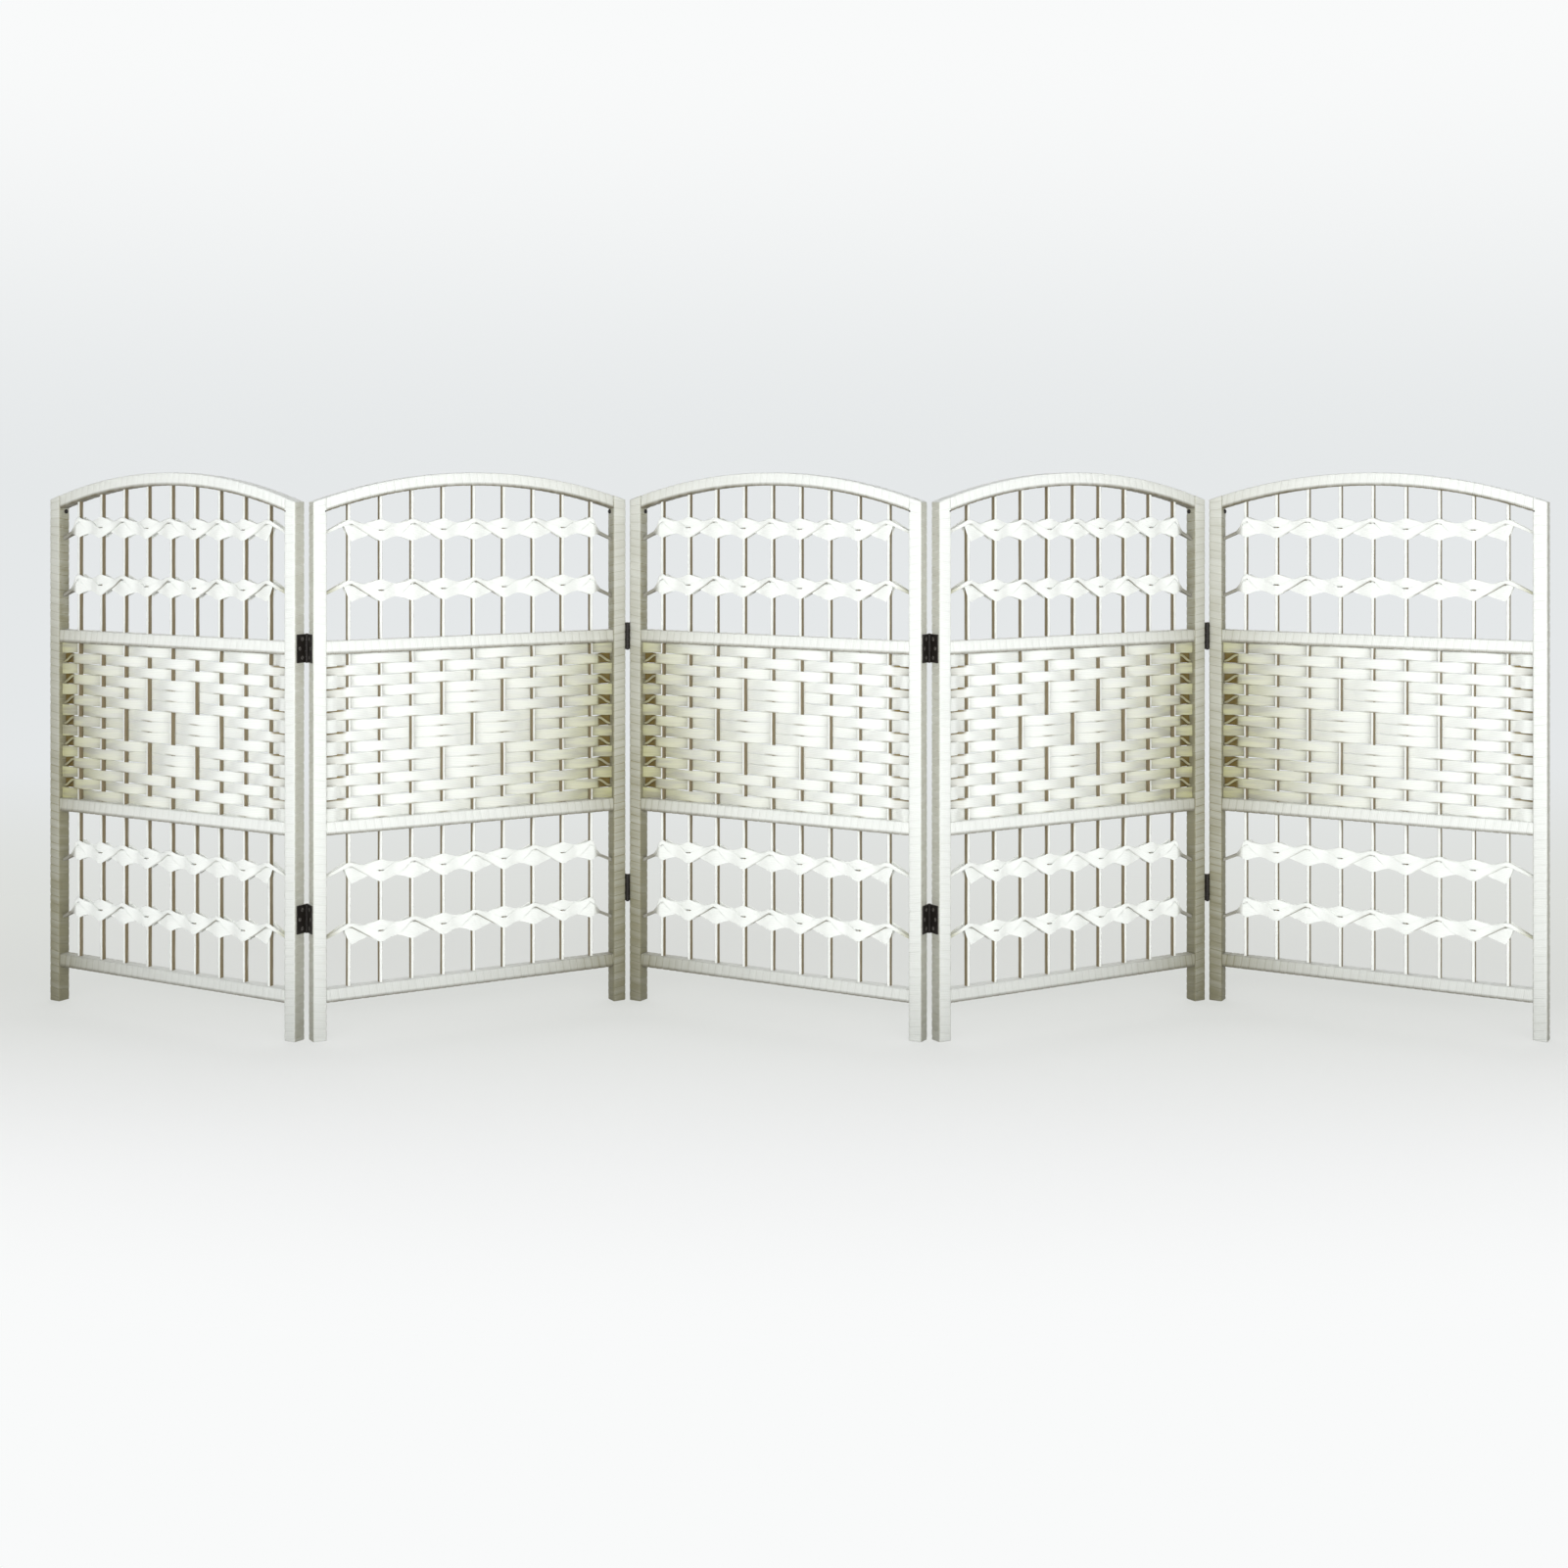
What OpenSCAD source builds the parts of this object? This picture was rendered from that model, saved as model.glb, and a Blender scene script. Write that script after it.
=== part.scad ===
// Low folding screen of five woven panels.
//
// Every panel is a frame of square stock with an arched top rail, two middle rails and a bottom
// rail, and nine upright laths that run from the bottom rail to the arch. Fibre strips are woven
// through the laths in the middle field, with longer floats that draw a diamond. In the open
// fields above and below it, nets of crossing strips clasp the laths from both sides.
// Butt hinges on the edges of the posts join the panels into a zigzag.
//
// Millimetres. The origin is on the floor under the middle of the third panel, +X runs along the
// row of panels to the right, +Z is up, and the front faces -Y.
// Each panel is modelled once, from its far end at x = 0 to its near end at x = panel_w, with its
// middle plane at y = 0. Panels 2 and 4 are its mirror image.

/* [Panels] */
// Width of one panel over its posts
panel_w = 484; // [400:1:700]
// Height of the posts at the outer edge
post_h = 750; // [715:1:1800]
// Rise of the arch above the outer edges of the posts
arch_rise = 41; // [25:1:70]
// Yaw of each panel away from a flat row, as the screen stands
fold_angle = 30; // [5:1:75]

/* [Frame stock] */
// Side of the square posts
post_size = 20; // [17:0.5:30]
// Height of the rails, and of the arch at its middle
rail_h = 19; // [14:0.5:26]
// Depth of the rails, front to back
rail_d = 19; // [16:0.5:20]
// Chamfer along the edges of posts and rails
edge_chamfer = 1.2; // [0.4:0.1:2.5]
// Length of the tenons on the ends of the rails
tenon_l = 9; // [5:0.5:9.5]
// Height of the tenons
tenon_h = 9; // [6:0.5:12]
// Depth of the tenons, front to back
tenon_d = 8; // [5:0.5:12]
// Clearance round a tenon or a lath in its seat
fit_gap = 0.2; // [0.1:0.05:0.4]

/* [Rail heights] */
// Underside of the bottom rail above the floor
bottom_rail_z = 52; // [30:1:75]
// Underside of the lower middle rail above the floor
lower_rail_z = 285; // [255:1:320]
// Underside of the upper middle rail below the outer edges of the post tops
upper_rail_drop = 213; // [195:1:240]

/* [Laths] */
// Number of laths in a panel
lath_count = 9; // [7:2:11]
// Width of a lath, seen from the front
lath_w = 5; // [3:0.5:8]
// Depth of a lath, front to back
lath_d = 7; // [6:0.5:10]
// Distance from a post to the middle of the nearest lath
end_cell_w = 34; // [28:1:44]
// Depth of the sockets in the arch and the bottom rail
socket_depth = 6; // [3:0.5:10]

/* [Weave] */
// Rows of strip in the middle field
row_count = 15; // [11:2:19]
// Thickness of a woven strip
strip_t = 1.6; // [1:0.1:2.2]
// Clearance between a strip and a lath, a rail or the next row
strip_gap = 0.4; // [0.3:0.05:0.8]
// Sideways place of a strip's end where it meets a post
strip_end_y = 3.5; // [0:0.5:6]
// Straight steps in each bend of a strip
bend_steps = 3; // [2:1:5]

/* [Nets] */
// Height of a net strip where it crosses its partner
net_strip_h = 17; // [12:0.5:20]
// Height of a net strip where it passes a lath
net_lath_h = 14; // [8:0.5:14.5]
// Height of a net strip where it is drawn together towards a post
net_end_h = 5; // [3:0.5:10]
// Thickness of a net strip
net_strip_t = 1.4; // [0.8:0.1:1.6]
// Rise and fall of a net strip from one lath to the next
net_swing = 8; // [7.6:0.1:10]
// Clearance between the strips of a net and between them and the laths
net_gap = 0.3; // [0.2:0.05:0.4]
// Distance between the two nets of a field
net_pitch = 85; // [60:1:95]
// Upper net of the top field, below the arch where it meets the posts
top_net_drop = 27; // [20:1:40]
// Upper net of the bottom field, below the lower middle rail
bottom_net_drop = 56; // [30:1:70]
// Drop of the nets towards the far post
net_far_drop = 18; // [0:0.5:20]
// Drop of the nets towards the near post
net_near_drop = 3; // [0:0.5:10]

/* [Hinges] */
// Gap between two neighbouring posts when the screen is flat
panel_gap = 3; // [2.8:0.1:5]
// Height of a hinge
hinge_h = 40; // [30:1:60]
// Width of a leaf from the pin's axis to its free edge
leaf_w = 20; // [16:0.5:21]
// Thickness of a leaf
leaf_t = 1.2; // [0.8:0.1:1.3]
// Radius of the knuckles
knuckle_r = 2.5; // [2.2:0.1:3.2]
// Knuckles in one hinge, shared by its two leaves
knuckle_count = 5; // [3:2:7]
// Radius of the hinge pin
pin_r = 1.25; // [0.8:0.05:1.5]
// Running clearance round the pin
pin_clearance = 0.05; // [0.03:0.01:0.09]
// Clearance between moving hinge parts, and between a knuckle and the posts
hinge_gap = 0.25; // [0.2:0.05:0.4]
// Centre of the lower hinge above the floor
lower_hinge_z = 169; // [120:1:220]
// Centre of the upper hinge below the top of the posts
upper_hinge_drop = 204; // [150:1:260]

/* [Screws] */
// Radius of the screws' shanks
screw_r = 1.3; // [1:0.1:1.6]
// Radius of the countersunk heads
screw_head_r = 2.7; // [2.2:0.1:3.4]
// Length of the screws over their heads
screw_l = 9.5; // [6:0.5:9.5]
// Spacing of the screws along the leaf
screw_pitch = 13; // [9:0.5:14]
// Sideways step of the middle screw
screw_stagger = 5; // [0:0.5:6]
// Clearance round a screw
screw_gap = 0.05; // [0.03:0.01:0.1]

/* [Hidden] */
PANELS = [1, 2, 3, 4, 5];
JOINTS = [1, 2, 3, 4];
MIDDLE = (len(PANELS) + 1) / 2;
PARTS = ["left_post", "right_post", "arch_rail", "upper_rail", "lower_rail", "bottom_rail",
    "laths", "weave", "nets", "hinge_leaves", "screws"];

FAR = 0;
NEAR = 1;
arc_steps = 360;
arch_tenon_shoulder = 3;
lath_chamfer = 0.5;
pin_head_h = 0.8;
overcut = 1;

wrap_white = "#ece7da";
lath_white = "#d9cfbc";
strip_white = "#f4f1e8";
hinge_black = "#1b1a19";
pin_black = "#2b2a28";

// Sizes that follow from the ones above
inner_w = panel_w - 2 * post_size;
lath_pitch = (inner_w - 2 * end_cell_w) / (lath_count - 1);
upper_rail_z = post_h - upper_rail_drop;
arch_r = (pow(panel_w / 2, 2) + pow(arch_rise, 2)) / (2 * arch_rise);
arch_centre_z = post_h + arch_rise - arch_r;
pin_x = panel_gap / 2;
pin_y = post_size / 2 + knuckle_r + hinge_gap;
hinge_zs = [lower_hinge_z, post_h - upper_hinge_drop];
knuckle_h = hinge_h / knuckle_count;
weave_y = lath_d / 2 + strip_gap + strip_t / 2;
weave_field = upper_rail_z - lower_rail_z - rail_h;
strip_h = (weave_field - strip_gap * (row_count + 1)) / row_count;
net_step = net_strip_t + net_gap;
lath_flat = lath_w / 2 + lath_chamfer;
top_net_z = arch_z(post_size, arch_r - rail_h) - top_net_drop;
bottom_net_z = lower_rail_z - bottom_net_drop;
net_zs = [top_net_z, top_net_z - net_pitch, bottom_net_z, bottom_net_z - net_pitch];
screw_spots = [for (i = [-1, 0, 1]) [i * screw_pitch, i == 0 ? screw_stagger : 0]];

// Height of an arc of the arch above a point of the panel's width
function arch_z(x, r) = arch_centre_z + sqrt(pow(r, 2) - pow(x - panel_w / 2, 2));

// Where lath i stands. 0 and lath_count + 1 are the inner faces of the two posts.
function lath_x(i) =
    i == 0 ? post_size :
    i == lath_count + 1 ? panel_w - post_size :
    post_size + end_cell_w + (i - 1) * lath_pitch;

// ---------------------------------------------------------------- the zigzag

function odd(k) = k % 2 == 1;
function yaw(k) = odd(k) ? -fold_angle : fold_angle;
function turned(v, a) = [v.x * cos(a) - v.y * sin(a), v.x * sin(a) + v.y * cos(a)];

// From the pins at the left end of panel k to the pins at its right end
function span(k) = turned([panel_w + 2 * pin_x, odd(k) ? 2 * pin_y : -2 * pin_y], yaw(k));

// Where the pins of joint j stand on the floor plan
function pin_at(j) =
    j == MIDDLE ? span(MIDDLE) / 2 :
    j > MIDDLE ? pin_at(j - 1) + span(j) :
    pin_at(j + 1) - span(j + 1);

function centre_of(k) = (pin_at(k - 1) + pin_at(k)) / 2;

// Stands one panel in its place in the zigzag
module stand(k) {
    translate([centre_of(k).x, centre_of(k).y, 0])
        rotate([0, 0, yaw(k)])
            if (odd(k)) translate([-panel_w / 2, 0, 0]) children();
            else mirror([1, 0, 0]) translate([-panel_w / 2, 0, 0]) children();
}

// Moves what is drawn for the far end to the given end, by half a turn of the panel
module at_end(end) {
    if (end == FAR) children();
    else translate([panel_w, 0, 0]) rotate([0, 0, 180]) children();
}

// The left end of panel k, and whether an end of it carries hinges
function left_end(k) = odd(k) ? FAR : NEAR;
function right_end(k) = odd(k) ? NEAR : FAR;
function hinged_ends(k) = concat(
    k > PANELS[0] ? [left_end(k)] : [],
    k < PANELS[len(PANELS) - 1] ? [right_end(k)] : []);

// ---------------------------------------------------------------- frame

// A rectangle about the origin with its four corners cut off
module chamfered(w, h, c) {
    polygon([
        for (corner = [[1, 1, 0], [-1, 1, 1], [-1, -1, 0], [1, -1, 1]])
            for (cut = corner[2] == 0 ? [[0, c], [c, 0]] : [[c, 0], [0, c]])
                [corner.x * (w / 2 - cut.x), corner.y * (h / 2 - cut.y)]
    ]);
}

// A box that is centred in y and z and starts at x = 0
module seat_box(l, d, h) {
    translate([0, -d / 2, -h / 2]) cube([l, d, h]);
}

// Heights at which the tenons of the arch and of the three straight rails lie
arch_tenon_z = arch_z(post_size, arch_r - rail_h) + arch_tenon_shoulder + tenon_h / 2;
tenon_zs = [
    arch_tenon_z,
    upper_rail_z + rail_h / 2,
    lower_rail_z + rail_h / 2,
    bottom_rail_z + rail_h / 2
];

// The post at the far end of a panel. Its top is cut to the slope of the arch.
module post(hinged) {
    difference() {
        intersection() {
            translate([post_size / 2, 0, 0])
                linear_extrude(post_h + arch_rise) chamfered(post_size, post_size, edge_chamfer);
            rotate([90, 0, 0])
                linear_extrude(post_size, center = true)
                    polygon([
                        [0, 0],
                        [post_size, 0],
                        [post_size, arch_z(post_size, arch_r)],
                        [0, post_h]
                    ]);
        }
        for (z = tenon_zs)
            translate([post_size - tenon_l - fit_gap, 0, z])
                seat_box(tenon_l + 2 * fit_gap, tenon_d + 2 * fit_gap, tenon_h + 2 * fit_gap);
        if (hinged)
            at_screws() pilot_hole();
    }
}

module panel_post(k, end) {
    color(wrap_white)
        stand(k) at_end(end) post(len(search(end, hinged_ends(k))) > 0);
}

// One tenon on each end of a rail
module tenons(z) {
    for (end = [FAR, NEAR])
        at_end(end)
            translate([post_size - tenon_l, 0, z])
                seat_box(tenon_l + rail_h / 4, tenon_d, tenon_h);
}

// A slot for every lath, open from z0 to z1
module lath_slots(z0, z1) {
    for (i = [1:lath_count])
        translate([lath_x(i), 0, z0])
            linear_extrude(z1 - z0) square([lath_w + 2 * fit_gap, lath_d + 2 * fit_gap], center = true);
}

// A straight rail with its underside at z. The laths reach down to slot_z.
module rail(z, slot_z) {
    difference() {
        union() {
            translate([post_size + fit_gap, 0, z + rail_h / 2])
                rotate([90, 0, 90])
                    linear_extrude(inner_w - 2 * fit_gap) chamfered(rail_d, rail_h, edge_chamfer);
            tenons(z + rail_h / 2);
        }
        lath_slots(slot_z, z + rail_h + overcut);
    }
}

module panel_rail(k, z, slot_z) {
    color(wrap_white) stand(k) rail(z, slot_z);
}

// Top of lath i, inside its socket in the arch
function lath_top(i) = arch_z(lath_x(i), arch_r - rail_h) + socket_depth;
lath_bottom = bottom_rail_z + rail_h - socket_depth;

// The arched top rail, a stretch of a ring between the posts
module arch_rail(k) {
    color(wrap_white) stand(k) difference() {
        union() {
            intersection() {
                translate([panel_w / 2, 0, arch_centre_z])
                    rotate([90, 0, 0])
                        rotate_extrude($fn = arc_steps)
                            translate([arch_r - rail_h / 2, 0])
                                chamfered(rail_h, rail_d, edge_chamfer);
                translate([post_size + fit_gap, -rail_d, post_h - post_size * 2])
                    cube([inner_w - 2 * fit_gap, 2 * rail_d, arch_rise + post_size * 3]);
            }
            tenons(arch_tenon_z);
        }
        for (i = [1:lath_count])
            translate([lath_x(i), 0, lath_top(i) + fit_gap - rail_h])
                linear_extrude(rail_h)
                    square([lath_w + 2 * fit_gap, lath_d + 2 * fit_gap], center = true);
    }
}

// The upright laths of a panel
module laths(k) {
    color(lath_white) stand(k)
        for (i = [1:lath_count])
            translate([lath_x(i), 0, lath_bottom])
                linear_extrude(lath_top(i) - lath_bottom) chamfered(lath_w, lath_d, lath_chamfer);
}

// ---------------------------------------------------------------- weave

// The diamond: floats whose places on the grid are moved by one lath. They lie this many rows
// apart, and the middle row has them up to this many laths from the middle.
diamond_row_steps = 3;
diamond_lath_steps = 2;
middle_lath = (lath_count + 1) / 2;
middle_row = (row_count + 1) / 2;

// Whether the strip of a row leaves the plain over-one, under-one rhythm at a lath
function in_diamond(r, i) =
    abs(r) % diamond_row_steps == 0 && abs(r) <= diamond_row_steps
    && abs(i) <= diamond_lath_steps - abs(r) / diamond_row_steps;

// -1 where the strip of a row passes in front of a lath, 1 where it passes behind
function side(row, lath) =
    let (r = row - middle_row, i = lath - middle_lath)
    let (plain = (abs(r) + abs(i)) % 2 == 1)
    plain != in_diamond(r, i) ? 1 : -1;

// Sideways place of a strip at lath i, and at the posts, where it swings back again
function strip_side_y(row, i) =
    i == 0 ? -side(row, 1) * strip_end_y :
    i == lath_count + 1 ? -side(row, lath_count) * strip_end_y :
    side(row, i) * weave_y;

// How far the strip runs straight past lath i, or stops short of a post
function straight_x(i) = i == 0 || i == lath_count + 1 ? fit_gap : lath_flat;

// Middle line of a row of strip on the plan, from post to post
function strip_line(row) = [
    for (i = [0:lath_count])
        let (x0 = lath_x(i) + straight_x(i), x1 = lath_x(i + 1) - straight_x(i + 1))
        let (y0 = strip_side_y(row, i), y1 = strip_side_y(row, i + 1))
        for (s = [0:bend_steps])
            let (u = s / bend_steps)
            [x0 + (x1 - x0) * u, y0 + (y1 - y0) * (1 - cos(180 * u)) / 2]
];

// A band of thickness t along a line of points, grown up and down the second axis
function band(line, t) = concat(
    [for (p = line) [p.x, p.y - t / 2]],
    [for (n = [len(line) - 1:-1:0]) [line[n].x, line[n].y + t / 2]]);

// The rows of woven strip, counted from the top
module weave(k) {
    color(strip_white) stand(k)
        for (row = [1:row_count])
            translate([0, 0, upper_rail_z - row * (strip_h + strip_gap)])
                linear_extrude(strip_h) polygon(band(strip_line(row), strip_t));
}

// ---------------------------------------------------------------- nets

// Place of one strip of a crossing pair in the open fields. At each lath it stands high or low,
// in turn, and its partner stands the other way. phase is 0 or 1.
function net_z(i, phase) =
    i == 0 ? -net_far_drop :
    i == lath_count + 1 ? -net_near_drop :
    (i + phase) % 2 == 1 ? net_swing : -net_swing;

// Height of the strip at lath i, at a post, and half way along cell i
function net_h(i) = i == 0 || i == lath_count + 1 ? net_end_h : net_lath_h;
function net_mid_h(i) = i == 0 || i == lath_count ? (net_end_h + net_lath_h) / 2 : net_strip_h;

// Points of one strip, cell by cell: place along the panel, height of its middle, its own height,
// and how near it lies to the laths' faces, from 0 to 1
function net_line(phase) = [
    for (i = [0:lath_count])
        let (x0 = lath_x(i) + straight_x(i), x1 = lath_x(i + 1) - straight_x(i + 1))
        let (z0 = net_z(i, phase), z1 = net_z(i + 1, phase))
        for (point = [
            [x0, z0, net_h(i), i == 0 ? 0 : 1],
            [(x0 + x1) / 2, (z0 + z1) / 2, net_mid_h(i), 0],
            [x1, z1, net_h(i + 1), i == lath_count ? 0 : 1]
        ]) point
];

// Distance of a pair from the panel's middle plane, at the laths and half way between them
net_lath_y = lath_d / 2 + net_gap + net_strip_t / 2 + net_step / 2;
net_mid_y = net_gap / 2 + net_strip_t / 2 + net_step / 2;

// Middle line of a strip on the plan, in front of the laths. The first strip lies outside its
// partner.
function net_plan(phase) =
    let (layer = phase == 0 ? net_step / 2 : -net_step / 2)
    [for (p = net_line(phase)) [p.x, -(net_mid_y + (net_lath_y - net_mid_y) * p[3] + layer)]];

// Front outline of a strip
function net_outline(phase) =
    let (line = net_line(phase))
    concat(
        [for (p = line) [p.x, p.y - p.z / 2]],
        [for (n = [len(line) - 1:-1:0]) [line[n].x, line[n].y + line[n].z / 2]]);

// One net strip, cut from its plan and its front outline
module net_strip(phase) {
    reach = net_swing + net_far_drop + net_strip_h;
    intersection() {
        translate([0, 0, -reach])
            linear_extrude(2 * reach) polygon(band(net_plan(phase), net_strip_t));
        rotate([90, 0, 0])
            linear_extrude(4 * net_lath_y, center = true) polygon(net_outline(phase));
    }
}

// Each net is a crossing pair in front of the laths and a like pair behind them
module nets(k) {
    color(strip_white) stand(k)
        for (z = net_zs)
            translate([0, 0, z])
                for (phase = [0, 1]) {
                    net_strip(phase);
                    mirror([0, 1, 0]) net_strip(phase);
                }
}

// ---------------------------------------------------------------- hinges

leaf_root = knuckle_r + hinge_gap;

// Puts a screw or a hole in each place of both leaves at the far end, pointing into the post
module at_screws() {
    for (z = hinge_zs)
        for (spot = screw_spots)
            translate([-leaf_t, (leaf_root + leaf_w) / 2 - pin_y + spot.y - screw_stagger / 2, z + spot.x])
                rotate([0, 90, 0]) children();
}

module screw(gap) {
    cylinder(leaf_t, screw_head_r + gap, screw_r + gap);
    cylinder(screw_l - screw_r, r = screw_r + gap);
    translate([0, 0, screw_l - screw_r]) cylinder(screw_r, screw_r + gap, 0.2);
}

module pilot_hole() {
    cylinder(screw_l + screw_gap, r = screw_r + screw_gap);
}

// One leaf at the far end, with its own knuckles. first is 0 for the leaf that has the outer
// knuckles and 1 for the other.
module leaf(first) {
    translate([0, -pin_y, -hinge_h / 2])
        difference() {
            union() {
                translate([-leaf_t, leaf_root, 0]) cube([leaf_t, leaf_w - leaf_root, hinge_h]);
                for (n = [first:2:knuckle_count - 1])
                    translate([0, 0, n * knuckle_h + hinge_gap / 2]) {
                        translate([-leaf_t, 0, 0])
                            cube([leaf_t, leaf_root, knuckle_h - hinge_gap]);
                        translate([-pin_x, 0, 0]) cylinder(knuckle_h - hinge_gap, r = knuckle_r);
                    }
            }
            translate([-pin_x, 0, -overcut])
                cylinder(hinge_h + 2 * overcut, r = pin_r + pin_clearance);
        }
}

// The leaves at both ends of a panel. At a joint the left panel has the outer knuckles.
module hinge_leaves(k) {
    color(hinge_black) stand(k)
        for (end = hinged_ends(k))
            at_end(end)
                difference() {
                    for (z = hinge_zs)
                        translate([0, 0, z]) leaf(end == left_end(k) ? 1 : 0);
                    at_screws() screw(screw_gap);
                }
}

module screws(k) {
    color(hinge_black) stand(k)
        for (end = hinged_ends(k))
            at_end(end) at_screws() screw(0);
}

// The pins of joint j, each with a button head at both ends
module hinge_pins(j) {
    color(pin_black) translate([pin_at(j).x, pin_at(j).y, 0])
        for (z = hinge_zs)
            translate([0, 0, z]) {
                cylinder(hinge_h + hinge_gap, r = pin_r, center = true);
                for (end = [-1, 1])
                    translate([0, 0, end * (hinge_h + hinge_gap + pin_head_h) / 2])
                        cylinder(pin_head_h, r = knuckle_r - hinge_gap, center = true);
            }
}

// ---------------------------------------------------------------- the nodes

module sub_part(k, part) {
    if (part == "left_post") panel_post(k, left_end(k));
    if (part == "right_post") panel_post(k, right_end(k));
    if (part == "arch_rail") arch_rail(k);
    if (part == "upper_rail") panel_rail(k, upper_rail_z, upper_rail_z - overcut);
    if (part == "lower_rail") panel_rail(k, lower_rail_z, lower_rail_z - overcut);
    if (part == "bottom_rail") panel_rail(k, bottom_rail_z, lath_bottom - fit_gap);
    if (part == "laths") laths(k);
    if (part == "weave") weave(k);
    if (part == "nets") nets(k);
    if (part == "hinge_leaves") hinge_leaves(k);
    if (part == "screws") screws(k);
}

for (k = PANELS)
    for (part = PARTS)
        sub_part(k, part);
for (j = JOINTS)
    hinge_pins(j);
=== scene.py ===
import functools
import math

import bpy
import numpy as np
from bpy.props import FloatProperty, FloatVectorProperty, IntProperty, PointerProperty
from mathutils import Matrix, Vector


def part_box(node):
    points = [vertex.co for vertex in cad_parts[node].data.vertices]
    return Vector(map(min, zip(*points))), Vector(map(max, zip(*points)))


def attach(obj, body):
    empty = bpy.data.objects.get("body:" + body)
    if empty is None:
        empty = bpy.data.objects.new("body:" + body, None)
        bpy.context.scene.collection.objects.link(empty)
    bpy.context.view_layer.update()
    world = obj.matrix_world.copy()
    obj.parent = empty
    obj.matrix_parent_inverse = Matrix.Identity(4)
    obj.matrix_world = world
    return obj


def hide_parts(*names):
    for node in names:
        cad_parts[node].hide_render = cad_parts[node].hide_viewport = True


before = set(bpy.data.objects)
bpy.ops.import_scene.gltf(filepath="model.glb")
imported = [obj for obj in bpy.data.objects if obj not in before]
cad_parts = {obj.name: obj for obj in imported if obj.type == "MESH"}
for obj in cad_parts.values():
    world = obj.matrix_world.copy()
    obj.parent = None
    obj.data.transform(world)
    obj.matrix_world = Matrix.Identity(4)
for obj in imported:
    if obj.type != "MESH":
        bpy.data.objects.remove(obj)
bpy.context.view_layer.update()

bl_info = {
    "name": "Folding screen",
    "version": (1, 0, 0),
    "blender": (4, 5, 0),
    "location": "View3D > Sidebar > Folding screen",
    "description": "Dresses the frame of a low woven folding screen in strip, nets and hinges",
    "category": "Object",
}

# Sizes of the frame in millimetres, as its source has them. A panel is built from its far end at
# x = 0 to its near end at x = PANEL_W, with its front at negative y, and then stood in its place.
PANELS = (1, 2, 3, 4, 5)
JOINTS = (1, 2, 3, 4)
PANEL_W, POST_H, ARCH_RISE = 484.0, 750.0, 41.0
POST, RAIL, FIT = 20.0, 19.0, 0.2
BOTTOM_RAIL_Z, LOWER_RAIL_Z, UPPER_RAIL_Z = 52.0, 285.0, 537.0
LATHS, LATH_W, LATH_D, END_CELL, SOCKET = 9, 5.0, 7.0, 34.0, 6.0
ROWS, STRIP_T, STRIP_GAP, STRIP_END_Y = 15, 1.6, 0.4, 3.5
NET_T, NET_GAP = 1.4, 0.3
NET_FAR_DROP, NET_NEAR_DROP, NET_PITCH = 18.0, 3.0, 85.0
TOP_NET_DROP, BOTTOM_NET_DROP = 27.0, 56.0
HINGE_ZS, HINGE_H, LEAF_W, LEAF_T = (169.0, 546.0), 40.0, 20.0, 1.2
KNUCKLE_R, KNUCKLES, PIN_R, HINGE_GAP, PANEL_GAP = 2.5, 5, 1.25, 0.25, 3.0
SCREW_R, SCREW_HEAD_R, SCREW_L = 1.3, 2.7, 9.5
SCREW_SPOTS = ((-13.0, -2.5), (0.0, 2.5), (13.0, -2.5))

# Sizes that only the pieces here have, in millimetres too.
RAIL_TUCK = 0.3     # how far the binding of a rail runs into a post
END_ROUND = 0.8     # how much of a bar's end is rounded
LATH_CORNER = 0.7   # radius of a lath's corners
LATH_CLEAR = 0.5    # how far beside a lath a strip starts to cross over

ARCH_R = ((PANEL_W / 2) ** 2 + ARCH_RISE ** 2) / (2 * ARCH_RISE)
ARCH_CENTRE_Z = POST_H + ARCH_RISE - ARCH_R
INNER_W = PANEL_W - 2 * POST
RAIL_START, RAIL_SPAN = POST - RAIL_TUCK, INNER_W + 2 * RAIL_TUCK
LATH_PITCH = (INNER_W - 2 * END_CELL) / (LATHS - 1)
LATH_X = [POST] + [POST + END_CELL + i * LATH_PITCH for i in range(LATHS)] + [PANEL_W - POST]
STRIP_H = (UPPER_RAIL_Z - LOWER_RAIL_Z - RAIL - STRIP_GAP * (ROWS + 1)) / ROWS
WEAVE_Y = LATH_D / 2 + STRIP_GAP + STRIP_T / 2
PIN_Y = POST / 2 + KNUCKLE_R + HINGE_GAP
FAR, NEAR = 0, 1


def arch_z(x, radius):
    """Height of an arc of the arch above a point of the panel's width."""
    return ARCH_CENTRE_Z + np.sqrt(radius ** 2 - (x - PANEL_W / 2) ** 2)


TOP_NET_Z = float(arch_z(POST, ARCH_R - RAIL)) - TOP_NET_DROP
LOW_NET_Z = LOWER_RAIL_Z - BOTTOM_NET_DROP
NET_ZS = (TOP_NET_Z, TOP_NET_Z - NET_PITCH, LOW_NET_Z, LOW_NET_Z - NET_PITCH)


def linear(*rgb):
    """A colour given as it looks on a screen, from 0 to 255, in the values that a shader takes."""
    return tuple((c / 255 / 12.92) if c / 255 <= 0.04045 else ((c / 255 + 0.055) / 1.055) ** 2.4
                 for c in rgb)


def smooth(low, high, value):
    """A soft step from 0 below low to 1 above high."""
    t = np.clip((value - low) / (high - low), 0, 1)
    return t * t * (3 - 2 * t)


def wander(value, seed):
    """A slow irregular wave between about -1 and 1, the same for the same seed."""
    return (np.sin(value * 1.0 + seed * 1.7) + 0.6 * np.sin(value * 2.3 + seed * 4.1)
            + 0.4 * np.sin(value * 5.1 + seed * 2.9)) / 2.0


# ---- sizes and colours to change

def number(name, description, default, **more):
    return FloatProperty(name=name, description=description, default=default, **more)


def length(name, description, default):
    return number(name, description, default, unit="LENGTH", precision=5, min=0)


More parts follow.
